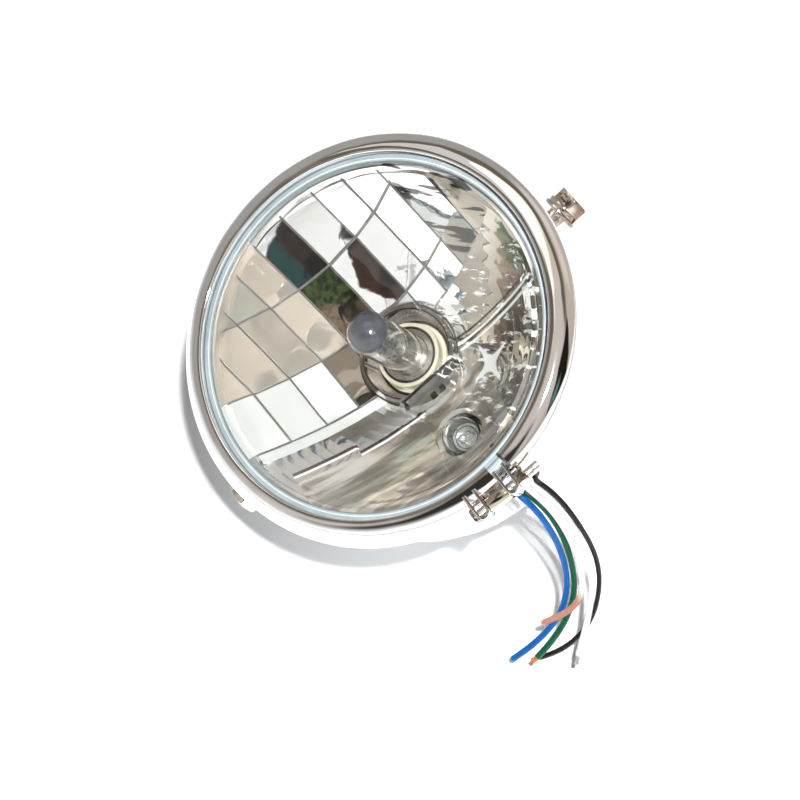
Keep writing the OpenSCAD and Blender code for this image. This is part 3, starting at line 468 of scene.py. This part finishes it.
        # Painted highlights: gleams beside the ledges, sparkle to the right and the lamp's star
        colour = g.blend(bright, colour, self.gleam)
        colour = g.blend(marks, colour, self.painted_dark)

        streak = g.node("Mapping", Vector=at, Scale=(30.0, 1.0, 90.0))
        streak = g.noise(streak, 1.0, 3.0).between(0.35, 0.65)
        swell = g.noise(at, 38.0, 1.0)
        ripple = g.noise(at, 160.0, 2.0)
        dust = g.noise(at, 700.0, 3.0).between(0.6, 0.85)
        painted = seam * 0.45 + walls * 0.3 + bright * 0.85 + floor * (1.0 - bright) * 0.4
        g.principled(
            Base_Color=g.blend(dust * 0.15, colour, self.dust),
            Metallic=1.0 - pale * 0.6 - painted * (1.0 - pale),
            Roughness=dust * 0.06 + below * streak * 0.12 + 0.02,
            Normal=g.bump(swell * 0.6 + ripple * 0.03 - seam * 0.4, 0.0012),
        )
        return material


@dataclass(frozen=True)
class ClearGlass:
    """Clear, barely wavy glass, which lets lamp light straight through to what is behind it."""

    name: str
    tint: Triple = (0.985, 0.995, 0.99)
    ior: float = 1.5
    wave: float = 0.00004

    def build(self) -> Material:
        """Make the material."""
        material, g, at = blank(self.name)
        smear = g.noise(at, 30.0, 4.0).between(0.5, 0.8)
        glass = g.node(
            "BsdfPrincipled",
            Base_Color=rgba(self.tint),
            Roughness=smear * 0.012,
            IOR=self.ior,
            Transmission_Weight=1.0,
            Normal=g.bump(g.noise(at, 40.0, 1.0), self.wave * BUMP_REACH),
        )
        shadow = g.ray("Shadow")
        soft = g.ray("Diffuse")
        clear = g.node("BsdfTransparent", Color=rgba((0.93, 0.95, 0.95)))
        g.finish(g.node("MixShader", i0=shadow + soft, i1=glass, i2=clear))
        return material


@dataclass(frozen=True)
class Moulded:
    """Rubber, plastic or paint: a colour with fine mottle, its own gloss and a fine grain, and
    perhaps ribs round the axis painted in as shade and highlight.
    """

    name: str
    colour: Triple
    shade: Triple
    roughness: float = 0.45
    grain: float = 0.00002
    grain_scale: float = 1500.0
    ribs: float = 0.0
    rib_shade: Triple = (0.1, 0.13, 0.14)
    rib_highlight: Triple = (0.85, 0.9, 0.92)

    def build(self) -> Material:
        """Make the material."""
        material, g, at = blank(self.name)
        mottle = g.noise(at, 220.0, 4.0).between(0.3, 0.8)
        colour = g.blend(mottle, self.colour, self.shade)
        # Ribs round the axis, in colour only: painted shade in each valley and a painted highlight
        # near each crest
        if self.ribs:
            x, _, z = g.split(at)
            across = ((x * x + z * z).root() / self.ribs).part()
            valley = abs(across - 0.5).between(0.14, 0.04) * 0.8
            colour = g.blend(valley, colour, self.rib_shade)
            crest = abs(across - 0.86).between(0.12, 0.02)
            colour = g.blend(crest, colour, self.rib_highlight)
        g.principled(
            Base_Color=colour,
            Roughness=mottle * 0.12 + self.roughness,
            Normal=g.bump(g.noise(at, self.grain_scale, 2.0), self.grain * BUMP_REACH),
        )
        return material


@dataclass(frozen=True)
class TipCoat:
    """Grey dip on the tip of a bulb, which thins out to clear glass behind a line."""

    name: str
    colour: Triple = (0.095, 0.095, 0.115)
    shade: Triple = (0.06, 0.06, 0.075)
    full_to: float = -0.0385
    clear_from: float = -0.0365

    def build(self) -> Material:
        """Make the material."""
        material, g, at = blank(self.name)
        cloud = g.noise(at, 170.0, 3.0).between(0.35, 0.7)
        _, y, _ = g.split(at)
        paint = g.node(
            "BsdfPrincipled",
            Base_Color=g.blend(cloud, self.colour, self.shade),
            Roughness=cloud * 0.1 + 0.12,
            Coat_Weight=1.0,
            Coat_Roughness=0.03,
        )
        thin = (y + g.noise(at, 300.0, 2.0) * 0.0006).between(self.full_to, self.clear_from)
        g.finish(g.node("MixShader", i0=thin, i1=paint, i2=g.node("BsdfTransparent")))
        return material


@dataclass(frozen=True)
class Metalled:
    """Plain metal with a drawn grain, and perhaps another colour in a ring round the axis."""

    name: str
    colour: Triple
    shade: Triple
    roughness: float = 0.22
    grain_scale: float = 900.0
    ring: Triple | None = None
    ring_from: float = 0.0114
    ring_to: float = 0.0152
    ring_edge: Triple = (0.06, 0.05, 0.035)

    def build(self) -> Material:
        """Make the material."""
        material, g, at = blank(self.name)
        stain = g.noise(at, 130.0, 4.0).between(0.35, 0.75)
        grain = g.noise(g.node("Mapping", Vector=at, Scale=(1.0, 0.15, 1.0)), self.grain_scale, 3.0)
        colour = g.blend(stain, self.colour, self.shade)
        solid = 1.0
        if self.ring:
            x, _, z = g.split(at)
            radius = (x * x + z * z).root()
            band = (radius > self.ring_from) * (radius < self.ring_to)
            edge = abs(radius - self.ring_from).between(0.0007, 0.0003)
            edge = edge + abs(radius - self.ring_to).between(0.0008, 0.0004)
            colour = g.blend(band, colour, self.ring)
            colour = g.blend(edge, colour, self.ring_edge)
            solid = 1.0 - band * 0.55
        g.principled(
            Base_Color=colour,
            Metallic=solid,
            Roughness=stain * 0.1 + grain * 0.08 + self.roughness,
            Normal=g.bump(grain, 0.00008),
        )
        return material


@dataclass(frozen=True)
class Insulation:
    """Soft lead insulation, which may turn to another colour near its cut end."""

    name: str
    colour: Triple
    shade: Triple
    end_colour: Triple | None = None
    end_at: Triple = (0.0, 0.0, 0.0)
    end_reach: float = 0.02

    def build(self) -> Material:
        """Make the material."""
        material, g, at = blank(self.name)
        mottle = g.noise(at, 260.0, 3.0).between(0.3, 0.8)
        colour = g.blend(mottle, self.colour, self.shade)
        if self.end_colour:
            distance = {"operation": "DISTANCE"}
            away = g.node("VectorMath", distance, out="Value", i0=at, i1=self.end_at)
            turned = 1.0 - away.between(self.end_reach * 0.8, self.end_reach * 1.15)
            colour = g.blend(turned, colour, self.end_colour)
        g.principled(
            Base_Color=colour,
            Roughness=mottle * 0.1 + 0.3,
            Specular_IOR_Level=0.3,
            Coat_Weight=0.08,
            Coat_Roughness=0.2,
            Normal=g.bump(g.noise(at, 1200.0, 2.0), 0.00012),
        )
        return material


def link(thing: Piece) -> None:
    """Put an object in the scene."""
    bpy.context.scene.collection.objects.link(thing)


def only(piece: Piece) -> None:
    """Select one object, make it active, and leave everything else alone."""
    bpy.ops.object.select_all(action="DESELECT")
    piece.select_set(True)
    bpy.context.view_layer.objects.active = piece


def dress(piece: Piece, material: Material) -> None:
    """Give a piece one material."""
    piece.data.materials.clear()
    piece.data.materials.append(material)


def smooth(piece: Piece, degrees: float = 35.0) -> None:
    """Shade a piece smooth, with creases over an angle."""
    only(piece)
    bpy.ops.object.shade_smooth_by_angle(angle=math.radians(degrees))


def edit(piece: Piece) -> None:
    """Open a piece in edit mode, with all of it selected."""
    only(piece)
    bpy.ops.object.mode_set(mode="EDIT")
    bpy.ops.mesh.select_all(action="SELECT")


def close(threshold: float) -> None:
    """Merge doubled corners, turn the faces outwards and leave edit mode."""
    bpy.ops.mesh.select_all(action="SELECT")
    bpy.ops.mesh.remove_doubles(threshold=threshold)
    bpy.ops.mesh.normals_make_consistent(inside=False)
    bpy.ops.object.mode_set(mode="OBJECT")


def apply_all(piece: Piece) -> None:
    """Apply every modifier of a piece."""
    only(piece)
    for modifier in list(piece.modifiers):
        bpy.ops.object.modifier_apply(modifier=modifier.name)


def mount(piece: Piece, slot: str, *nodes: str) -> None:
    """Fix a piece to the lamp, in place of CAD nodes.

    Args:
        piece: the finished piece.
        slot: the record's material slot; not used.
        *nodes: nodes that it stands for.
    """
    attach(piece, "root")
    if nodes:
        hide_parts(*nodes)
    LOG.info("%s: %d faces", piece.name, len(piece.data.polygons))


def refined(
    node: str, bevel: float, degrees: float = 30.0, segments: int = 2
) -> Piece:
    """Copy a CAD node with merged corners and rounded edges.

    Args:
        node: the CAD node.
        bevel: width of the rounding, in metres.
        degrees: edges sharper than this are rounded.
        segments: faces across each rounding.

    Returns:
        The new piece, undressed.
    """
    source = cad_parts[node]
    piece = bpy.data.objects.new(node + "_dressed", source.data.copy())
    link(piece)
    edit(piece)
    bpy.ops.mesh.customdata_custom_splitnormals_clear()
    bpy.ops.mesh.remove_doubles(threshold=1e-6)
    bpy.ops.mesh.dissolve_limited(angle_limit=math.radians(0.5))
    bpy.ops.object.mode_set(mode="OBJECT")
    if bevel > 0:
        rounding = piece.modifiers.new("rounding", "BEVEL")
        rounding.width = bevel
        rounding.segments = segments
        rounding.limit_method = "ANGLE"
        rounding.angle_limit = math.radians(degrees)
        apply_all(piece)
    smooth(piece, degrees + 8.0)
    return piece


def turned(
    name: str, outline: list[Pair], steps: int, start: float = -90.0, sweep: float = 360.0
) -> Piece:
    """Spin a closed outline round the lamp's axis.

    Args:
        name: name of the piece.
        outline: corners as (radius, y) in millimetres.
        steps: faces round the axis.
        start: angle of the first section in degrees, from +X towards +Z.
        sweep: angle that is swept, in degrees.

    Returns:
        The piece, undressed, with its faces outwards.
    """
    bpy.ops.object.select_all(action="DESELECT")
    bpy.ops.mesh.primitive_circle_add(vertices=len(outline), radius=0.01, fill_type="NOTHING")
    piece = bpy.context.object
    piece.name = name
    turn = math.radians(start)
    for vertex, (radius, depth) in zip(piece.data.vertices, outline):
        vertex.co = Vector((radius * math.cos(turn), depth, radius * math.sin(turn))) * MM
    edit(piece)
    if sweep < 360.0:
        bpy.ops.mesh.edge_face_add()
    swept = -math.radians(sweep)
    bpy.ops.mesh.spin(
        steps=steps, angle=swept, center=(0, 0, 0), axis=(0, 1, 0), use_auto_merge=True
    )
    close(2e-6)
    return piece


def arc(centre: Pair, radius: float, first: float, last: float, count: int) -> list[Pair]:
    """Points on an arc, from the first angle to the last, in degrees."""
    turns = [math.radians(first + (last - first) * i / (count - 1)) for i in range(count)]
    return [(centre[0] + radius * math.cos(t), centre[1] + radius * math.sin(t)) for t in turns]


@dataclass
class Studio:
    """Camera, table, lamps and the room that the bright parts show."""

    eye: Triple = (0.1061453, -0.6206229, -0.2722319)
    right: Triple = (0.7316611, 0.3771920, -0.5678013)
    up: Triple = (0.6587462, -0.1770504, 0.7312364)
    lens: float = 75.76
    table_up: Triple = (0.545, -0.8235, 0.1567)
    table_at: float = -0.0806
    lift: float = 1.17
    lift_far: float = 1.6
    glow_mirrored: float = 0.2
    key_power: float = 14.0
    key_size: float = 0.05
    fill_power: float = 0.4
    fill_size: float = 0.5
    shine: float = 0.15
    dimmed: float = 0.8
    cool: Triple = (0.97, 0.985, 1.0)
    paper: Shades = ((0.9, 0.91, 0.93), (0.92, 0.93, 0.95))
    walls: Shades = ((0.32, 0.305, 0.29), (0.47, 0.41, 0.35))
    ceilings: Shades = ((0.98, 0.94, 0.89), (0.55, 0.47, 0.37))
    warm: Triple = (0.66, 0.6, 0.54)
    edge: Triple = (0.125, 0.104, 0.078)
    viewer: Triple = (0.53, 0.48, 0.44)
    left_dark: Triple = (0.03, 0.028, 0.022)
    right_dark: Triple = (0.014, 0.01, 0.008)
    glint: Triple = (0.1, 0.22, 0.19)

    def camera(self) -> None:
        """Set the camera at the photograph's own place."""
        data = bpy.data.cameras.new("camera")
        data.lens = self.lens
        data.sensor_width = 36.0
        data.clip_start = 0.01
        eye = bpy.data.objects.new("camera", data)
        link(eye)
        right = Vector(self.right).normalized()
        up = (Vector(self.up) - Vector(self.up).dot(right) * right).normalized()
        turn = Matrix((right, up, right.cross(up))).transposed().to_4x4()
        eye.matrix_world = Matrix.Translation(self.eye) @ turn
        bpy.context.scene.camera = eye

    def table(self) -> None:
        """Lay the pale table under the lamp, which is seen through from below."""
        normal = Vector(self.table_up).normalized()
        bpy.ops.object.select_all(action="DESELECT")
        bpy.ops.mesh.primitive_plane_add(size=5.0)
        table = bpy.context.object
        table.name = "table"
        tilt = normal.to_track_quat("Z", "Y").to_matrix().to_4x4()
        table.data.transform(Matrix.Translation(normal * self.table_at) @ tilt)
        material, g, at = blank("table_white")
        mottle = g.noise(at, 3.0, 2.0)
        away = g.node("VectorMath", {"operation": "LENGTH"}, out="Value", i0=at)
        # Seen by the camera, in mirrors and through glass, the table is lifted above white, less
        # near the lamp than away from it, which keeps its shadow near the lamp darker
        whites = [tuple(lift * c for c in self.cool) for lift in (self.lift, self.lift_far)]
        white = g.blend(away.between(0.12, 0.4), *whites)
        seen = g.ray("Camera")
        mirrored = g.ray("Glossy")
        through = g.ray("Transmission")
        plain = g.blend(mottle, *self.paper)
        lit = g.blend(seen + mirrored + through, plain, white)
        paper = g.node("BsdfDiffuse", Color=lit)
        strength = (mirrored + through) * self.glow_mirrored
        glow = g.node("Emission", Color=rgba(WHITE), Strength=strength)
        front = g.node("AddShader", i0=paper, i1=glow)
        behind = g.node("NewGeometry", out="Backfacing")
        g.finish(g.node("MixShader", i0=behind, i1=front, i2=g.node("BsdfTransparent")))
        dress(table, material)

    def room(self) -> None:
        """Paint the room that the bright parts show, by height and by direction round the table."""
        world = bpy.data.worlds.new("room")
        bpy.context.scene.world = world
        world.use_nodes = True
        g = Graph(world.node_tree)
        way = g.node("TexCoord", out="Generated")
        up = Vector(self.table_up).normalized()
        right = (Vector(self.right) - Vector(self.right).dot(up) * up).normalized()
        ahead = right.cross(up).normalized() * -1.0

        def along(axis: Vector) -> Flow:
            """How far the direction goes along an axis."""
            dot = {"operation": "DOT_PRODUCT"}
            return g.node("VectorMath", dot, out="Value", i0=way, i1=tuple(axis))

        high, side, far = along(up), along(right), along(ahead)
        level = (side * side + far * far + 0.0001).root()
        side, far = side / level, far / level
        rough = g.noise(way, 2.2, 3.0) - 0.5
        left = (0.0 - side).between(0.1, 0.8)
        on_right = side.between(0.35, 0.85)

        # Walls, lighter on the right, under a tan edge and a pale ceiling
        walls = g.blend(on_right, *self.walls)
        warm = abs(side * 0.77 + far * 0.64).between(0.85, 0.97)
        warm = warm * abs(high - 0.52).between(0.24, 0.12)
        colour = g.blend(warm * 0.8, walls, self.warm)
        edge_top = on_right * 0.06 + 0.885
        edge_low = on_right * 0.12 + 0.68
        tan = (high - edge_low + rough * 0.1).between(-0.07, 0.06)
        colour = g.blend(tan, colour, self.edge)
        ceiling = g.blend(on_right, *self.ceilings)
        above = (high - edge_top + rough * 0.03).between(-0.015, 0.015)
        colour = g.blend(above, colour, ceiling)

        # Towards the viewer: pale upper part, a dark shape on the left and one on the right
        near = (0.0 - far).between(0.35, 0.62)
        colour = g.blend(near * high.between(0.45, 0.62), colour, self.viewer)
        dark_left = near * (0.0 - side).between(-0.15, 0.05)
        dark_left = dark_left * (high + rough * 0.08).between(0.78, 0.72)
        colour = g.blend(dark_left, colour, self.left_dark)
        dark_right = (side * 0.866 - far * 0.5 + rough * 0.03).between(0.945, 0.965)
        dark_right = dark_right * high.between(0.82, 0.76)
        colour = g.blend(dark_right, colour, self.right_dark)
        glint = (side * 0.78 - far * 0.62).between(0.985, 0.998)
        glint = glint * abs(high - 0.5 + rough * 0.2).between(0.14, 0.04)
        colour = g.blend(glint, colour, self.glint)

        # The pale table runs up to the walls, high towards the viewer; the camera sees white
        spread = left * 0.2 + 0.035
        table = ((high + far * 0.33 - 0.12) / spread).between(1.0, -1.0)
        colour = g.blend(table, colour, WHITE)
        seen = g.ray("Camera")
        colour = g.blend(seen, colour, WHITE)
        mirrored = g.ray("Glossy") * self.shine
        strength = 1.0 + mirrored - g.ray("Diffuse") * self.dimmed
        g.node("OutputWorld", Surface=g.node("Background", Color=colour, Strength=strength))
        key_place = up * 0.85 - ahead * 0.51 + right * 0.07
        self.lamp("key", key_place, self.key_size, self.key_power)
        fill_place = up * 0.9 - right * 0.4 + ahead * 0.2
        self.lamp("fill", fill_place, self.fill_size, self.fill_power)

    def lamp(self, name: str, place: Vector, size: float, power: float) -> None:
        """Hang one soft square lamp that faces the origin.

        Args:
            name: name of the lamp.
            place: its place in metres.
            size: length of its side in metres.
            power: its power in watts.
        """
        data = bpy.data.lights.new(name, "AREA")
        data.size = size
        data.energy = power
        lamp = bpy.data.objects.new(name, data)
        aim = place.to_track_quat("Z", "Y").to_matrix().to_4x4()
        lamp.matrix_world = Matrix.Translation(place) @ aim
        link(lamp)

    def build(self) -> None:
        """Make the whole studio."""
        bpy.context.scene.view_settings.view_transform = "Standard"
        self.camera()
        self.table()
        self.room()


@dataclass
class Lead:
    """One free lead: insulation along its route, and bare strands at its end."""

    colour: str
    finish: Insulation
    exit: Triple
    heading: Triple
    route: list[Triple]
    diameter: float
    bare: float
    tip: Shades
    first_step: float = 3.0
    strands: int = 7

    def corners(self) -> list[Vector]:
        """Corners of the route in metres, evened out between its ends."""
        start = Vector(self.exit)
        second = start + self.first_step * Vector(self.heading)
        corners = [start, second] + [Vector(p) for p in self.route]
        for _ in range(3):
            triples = zip(corners[1:], corners[2:], corners[3:])
            inner = [(a + 2.0 * b + c) / 4.0 for a, b, c in triples]
            corners = corners[:2] + inner + corners[-1:]
        return [p * MM for p in corners]

    def rounded(self, corners: list[Vector]) -> list[Vector]:
        """Smooth curve through corners.

        Args:
            corners: points of the route.

        Returns:
            The corners, with two more points between each pair.
        """
        ends = [2 * corners[0] - corners[1]] + corners + [2 * corners[-1] - corners[-2]]
        result = []
        for a, b, c, d in zip(ends, ends[1:], ends[2:], ends[3:]):
            square, cube = 2 * a - 5 * b + 4 * c - d, 3 * b - a - 3 * c + d
            for t in (0.0, 0.33, 0.67):
                result.append(0.5 * (2 * b + (c - a) * t + square * t**2 + cube * t**3))
        return result + [corners[-1]]

    def tube(self, name: str, points: list[Vector], radius: float) -> Piece:
        """Round tube along points.

        Args:
            name: name of the piece.
            points: centre line in metres.
            radius: radius in metres.

        Returns:
            The tube as a mesh.
        """
        curve = bpy.data.curves.new(name, "CURVE")
        curve.dimensions = "3D"
        curve.bevel_depth = radius
        curve.bevel_resolution = 5
        curve.use_fill_caps = True
        curve.twist_mode = "MINIMUM"
        spline = curve.splines.new("POLY")
        spline.points.add(len(points) - 1)
        for knot, point in zip(spline.points, points):
            knot.co = (*point, 1.0)
        piece = bpy.data.objects.new(name, curve)
        link(piece)
        only(piece)
        bpy.ops.object.convert(target="MESH")
        piece = bpy.context.object
        edit(piece)
        close(1e-6)
        smooth(piece, 50.0)
        return piece

    def build(self) -> None:
        corners = self.corners()
        points = self.rounded(corners)
        length = sum((b - a).length for a, b in zip(points, points[1:]))
        radius = self.diameter / 2 * MM
        tail = (points[-1] - points[-2]).normalized()
        cut = points[-1] - tail * self.bare * MM
        clear = self.bare * MM * 1.2
        body = [p for p in points if (points[-1] - p).length > clear] + [cut]
        path = [p for p in corners if (points[-1] - p).length > clear] + [cut]
        sleeve = self.tube(f"lead_{self.colour}_sleeve", body, radius)
        dress(sleeve, self.finish.build())
        mount(sleeve, self.finish.name, f"lead_{self.colour}")
        copper = Metalled(f"strands_{self.colour}", *self.tip, roughness=0.35)
        side = tail.orthogonal().normalized()
        strands = []
        ring, tuck = self.strands - 1, 0.0012
        for k in range(self.strands):
            middle = 0.0 if k == ring else 1.0
            lean = Matrix.Rotation(k * math.tau / ring, 3, tail) @ side * middle
            reach = self.bare * (0.85 + 0.05 * (k % 4)) * MM
            start = cut - tail * tuck + lean * radius * 0.45
            end = cut + tail * reach + lean * radius * 0.52
            line = [start, (start + end) / 2, end]
            strands.append(self.tube(f"strand_{self.colour}_{k}", line, radius * 0.24))
        only(strands[0])
        for strand in strands:
            strand.select_set(True)
        bpy.ops.object.join()
        bundle = bpy.context.object
        bundle.name = f"lead_{self.colour}_strands"
        dress(bundle, copper.build())
        mount(bundle, self.finish.name)
        length - self.bare * MM
        self.diameter * MM


@dataclass
class Leads:
    """The five loose leads under the grommet."""

    turn: float = 4.2
    forward: float = 3.0
    shell_r: float = 75.3
    stand: float = 1.6

    def start(self, round_lamp: float, rear: float) -> Triple:
        """Where a lead leaves the grommet, in millimetres."""
        turn = math.radians(self.turn)
        c, s = math.cos(turn), math.sin(turn)
        reach = self.shell_r + self.stand
        return (reach * s + round_lamp * c, rear - self.forward, -reach * c + round_lamp * s)

    def build(self) -> None:
        """Make every lead."""
        turn = math.radians(self.turn)
        away = (math.sin(turn), 0.0, -math.cos(turn))
        blue = ("blue_insulation", (0.0, 0.095, 0.36), (0.0, 0.07, 0.27))
        green = ("green_insulation", (0.0, 0.085, 0.035), (0.0, 0.065, 0.028))
        white = ("white_insulation", (0.84, 0.84, 0.83), (0.78, 0.78, 0.77))
        red_end = ((0.42, 0.19, 0.13), (-0.0295, 0.029, -0.115), 0.021)
        black = ("black_insulation", (0.003, 0.0025, 0.002), (0.002, 0.0015, 0.001))
        copper = ((0.72, 0.3, 0.14), (0.5, 0.17, 0.07))
        teal = ((0.2, 0.5, 0.5), (0.1, 0.3, 0.3))
        red = ((0.8, 0.3, 0.2), (0.6, 0.2, 0.12))
        grey = ((0.55, 0.54, 0.52), (0.4, 0.39, 0.38))
        for name, skin, spot, diameter, bare, tip in (
            ("blue", blue, (-4.3, -0.4), 2.6, 0.8, teal),
            ("green", green, (-2.1, 1.6), 2.6, 4.0, copper),
            ("white_front", white + red_end, (0.0, -1.2), 2.6, 1.2, red),
            ("white_back", white, (2.1, 1.6), 2.6, 4.0, grey),
            ("black", black, (4.5, -0.5), 2.1, 4.0, copper),
        ):
            finish, start = Insulation(*skin), self.start(*spot)
            Lead(name, finish, start, away, ROUTES[name], diameter, bare, tip).build()


@dataclass
class ClampRing:
    """Chrome ring with its folded lugs, screw, nut and sleeve."""

    chrome: Material
    bright: Material
    nut_plate: Material
    sleeve: Material
    mid_r: float = 74.4
    mid_y: float = -30.9
    outer: float = 8.3
    wall: float = 1.2
    lip: float = -97.0
    rear: float = 80.3
    half_gap: float = 4.1
    lug_reach: float = 11.5
    lug_top: float = -70.0
    slack: float = 0.05

    def ring(self) -> Piece:
        """Spin the arched section round the lamp, open at the split."""
        inner = self.outer - self.wall
        middle = self.outer - self.wall / 2
        edge = self.wall / 2
        centre = (self.mid_r, self.mid_y)
        outline = arc(centre, self.outer, self.lip, self.rear, 40)
        last = arc(centre, middle, self.rear, self.rear, 2)[0]
        outline += arc(last, edge, self.rear, self.rear + 180.0, 7)[1:-1]
        outline += arc(centre, inner, self.rear, self.lip, 30)
        first = arc(centre, middle, self.lip, self.lip, 2)[0]
        outline += arc(first, edge, self.lip + 180.0, self.lip + 360.0, 7)[1:-1]
        gap = math.degrees(math.asin(self.half_gap / (self.mid_r + self.outer)))
        piece = turned("rim_ring_band", outline, 240, -90.0 + gap, 360.0 - 2 * gap)
        smooth(piece, 40.0)
        return piece

    def lugs(self) -> Piece:
        """Take the folded lugs from the CAD ring, with rounded edges."""
        piece = refined("rim_ring", 0.00035, 40.0, 3)
        piece.name = "rim_ring_lugs"
        only(piece)
        bpy.ops.object.mode_set(mode="EDIT")
        bpy.ops.mesh.select_mode(type="FACE")
        bpy.ops.mesh.select_all(action="DESELECT")
        mesh = bmesh.from_edit_mesh(piece.data)
        for face in mesh.faces:
            c = face.calc_center_median() / MM
            corners = [v.co / MM for v in face.verts]
            sheet = max(
                math.hypot(math.hypot(v.x, v.z) - self.mid_r, v.y - self.mid_y) for v in corners
            )
            lug = abs(c.x) < self.lug_reach and c.z < self.lug_top
            face.select = not (lug and sheet > self.outer + self.slack)
        bmesh.update_edit_mesh(piece.data)
        bpy.ops.mesh.delete(type="FACE")
        bpy.ops.object.mode_set(mode="OBJECT")
        smooth(piece, 35.0)
        return piece

    def build(self) -> None:
        """Make the ring and dress the clamp."""
        ring = self.ring()
        dress(ring, self.chrome)
        lugs = self.lugs()
        dress(lugs, self.chrome)
        only(ring)
        lugs.select_set(True)
        bpy.ops.object.join()
        mount(ring, "rim_chrome", "rim_ring")
        for node, width, slot, metal in (
            ("clamp_screw", 0.0003, "fastener", self.bright),
            # The nut's plate shows painted dark reflections in blotches
            ("clamp_nut", 0.00025, "fastener", self.nut_plate),
            ("clamp_spacer", 0.0003, "spacer", self.sleeve),
        ):
            piece = refined(node, width)
            dress(piece, metal)
            mount(piece, slot, node)


@dataclass
class Front:
    """Domed lens and the seal behind it."""

    glass: Material
    rubber: Material
    edge_r: float = 76.2
    front_y: float = -37.8
    back_y: float = -34.2
    chamfer: float = 1.4
    field_r: float = 68.0
    rise: float = 13.0
    wall: float = 3.0
    hollow_r: float = 68.9
    seat_r: float = 69.4
    fillet: float = 0.8
    soft: float = 0.35

    def dome(self, offset: float, reach: float, count: int) -> list[Pair]:
        """Points on the dome from its edge to its middle.

        Args:
            offset: how far inside the outer sphere.
            reach: radius where the arc starts.
            count: number of points.

        Returns:
            Points as (radius, y) in millimetres.
        """
        radius = (self.field_r**2 + self.rise**2) / (2 * self.rise)
        centre = self.front_y - self.rise + radius
        radius -= offset
        first = math.asin(reach / radius)
        turns = [first * (1 - i / (count - 1)) for i in range(count)]
        return [(radius * math.sin(t), centre - radius * math.cos(t)) for t in turns]

    def build(self) -> None:
        """Spin the lens and dress the seal."""
        outer = self.dome(0.0, self.field_r, 40)
        inner = self.dome(self.wall, self.hollow_r, 40)
        outer[-1] = (0.0, outer[-1][1])
        inner[-1] = (0.0, inner[-1][1])
        soft, edge, front = self.soft, self.edge_r, self.front_y
        outline = outer[::-1] + [
            (self.field_r + self.fillet, front),
            (edge - self.chamfer - soft, front),
            (edge - self.chamfer + soft * 0.7, front + soft * 0.5),
            (edge - soft * 0.5, front + self.chamfer - soft * 0.7),
            (edge, front + self.chamfer + soft),
            (edge, self.back_y - soft),
            (edge - soft, self.back_y),
            (self.seat_r, self.back_y),
        ]
        outline += inner
        lens = turned("lens_dome", outline, 160)
        smooth(lens, 24.0)
        dress(lens, self.glass)
        mount(lens, "lens_glass", "lens")
        gasket = refined("lens_gasket", 0.0002)
        dress(gasket, self.rubber)
        mount(gasket, "gasket", "lens_gasket")


def main() -> None:
    """Build the studio and every sub-assembly in order."""
    logging.basicConfig(level=logging.INFO, format="%(name)s %(message)s")
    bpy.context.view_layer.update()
    Studio().build()
    Leads().build()
    fine = {"wave": 0.00003, "wave_scale": 400.0}
    broad = {"wave": 0.00009, "wave_scale": 30.0}
    chrome = Plated("rim_chrome", (0.93, 0.925, 0.92), (0.88, 0.875, 0.87)).build()
    shell_chrome = Plated("shell_chrome", (0.95, 0.95, 0.95), (0.91, 0.91, 0.91), **broad).build()
    bright = Plated("fastener_plate", (0.78, 0.76, 0.73), (0.68, 0.65, 0.61), 0.1, **fine).build()
    sleeve = Plated("spacer_plate", (0.68, 0.6, 0.5), (0.55, 0.48, 0.4), 0.08).build()
    mirror = MirrorCoat("reflector_mirror").build()
    lens_glass = ClearGlass("lens_glass").build()
    bulb_glass = ClearGlass("bulb_glass", (0.995, 0.998, 1.0), 1.46).build()
    seal = Moulded(
        "seal_rubber", (0.5, 0.545, 0.565), (0.42, 0.465, 0.49), 0.4, ribs=0.0031
    ).build()
    black_rubber = Moulded("black_rubber", (0.02, 0.02, 0.02), (0.03, 0.03, 0.03), 0.55).build()
    black_plastic = Moulded(
        "black_plastic", (0.025, 0.025, 0.026), (0.018, 0.018, 0.018), 0.35
    ).build()
    coat = TipCoat("grey_coat").build()
    # Bolt plate: its dark second tone, in blotches, is a painted dark reflection
    plate = Plated("bolt_plate", (0.82, 0.76, 0.7), (0.16, 0.1, 0.07), 0.05, **fine).build()
    steel = Metalled("bulb_steel", (0.62, 0.61, 0.6), (0.5, 0.49, 0.48)).build()
    base = Metalled(
        "bulb_base_metal", (0.74, 0.71, 0.66), (0.6, 0.57, 0.52), 0.12, ring=(0.92, 0.87, 0.7)
    ).build()
    tungsten = Metalled("tungsten", (0.3, 0.3, 0.31), (0.2, 0.2, 0.21), 0.4).build()
    inner = Insulation("inner_insulation", (0.3, 0.3, 0.33), (0.25, 0.25, 0.28)).build()
    ClampRing(chrome, bright, plate, sleeve).build()
    Front(lens_glass, seal).build()
    for node, width, slot, material in (
        ("side_bolts", 0.0004, "fastener", plate),
        ("flat_washers", 0.00025, "fastener", plate),
        ("spring_washers", 0.0002, "fastener", plate),
        ("shell", 0.0, "shell_chrome", shell_chrome),
        ("bulb_glass", 0.0, "bulb_glass", bulb_glass),
        ("bulb_tip_coat", 0.0, "bulb_coat", coat),
        ("bulb_base", 0.0, "bulb_base", base),
        ("parking_globe", 0.0, "bulb_glass", bulb_glass),
        ("parking_cap", 0.0, "bulb_steel", steel),
        ("cable_grommet", 0.0003, "boot_rubber", black_rubber),
    ):
        piece = refined(node, width)
        dress(piece, material)
        mount(piece, slot, node)
    for node, material in {
        "reflector": mirror,
        "bulb_shield": steel,
        "bulb_filaments": tungsten,
        "bulb_contacts": steel,
        "bulb_clip": steel,
        "bulb_boot": black_rubber,
        "bulb_plug": black_plastic,
        "parking_filament": tungsten,
        "parking_holder": black_plastic,
        "side_nuts": bright,
        "inner_leads": inner,
    }.items():
        dress(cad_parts[node], material)
        LOG.info("%s: dressed", node)


if __name__ == "__main__":
    main()
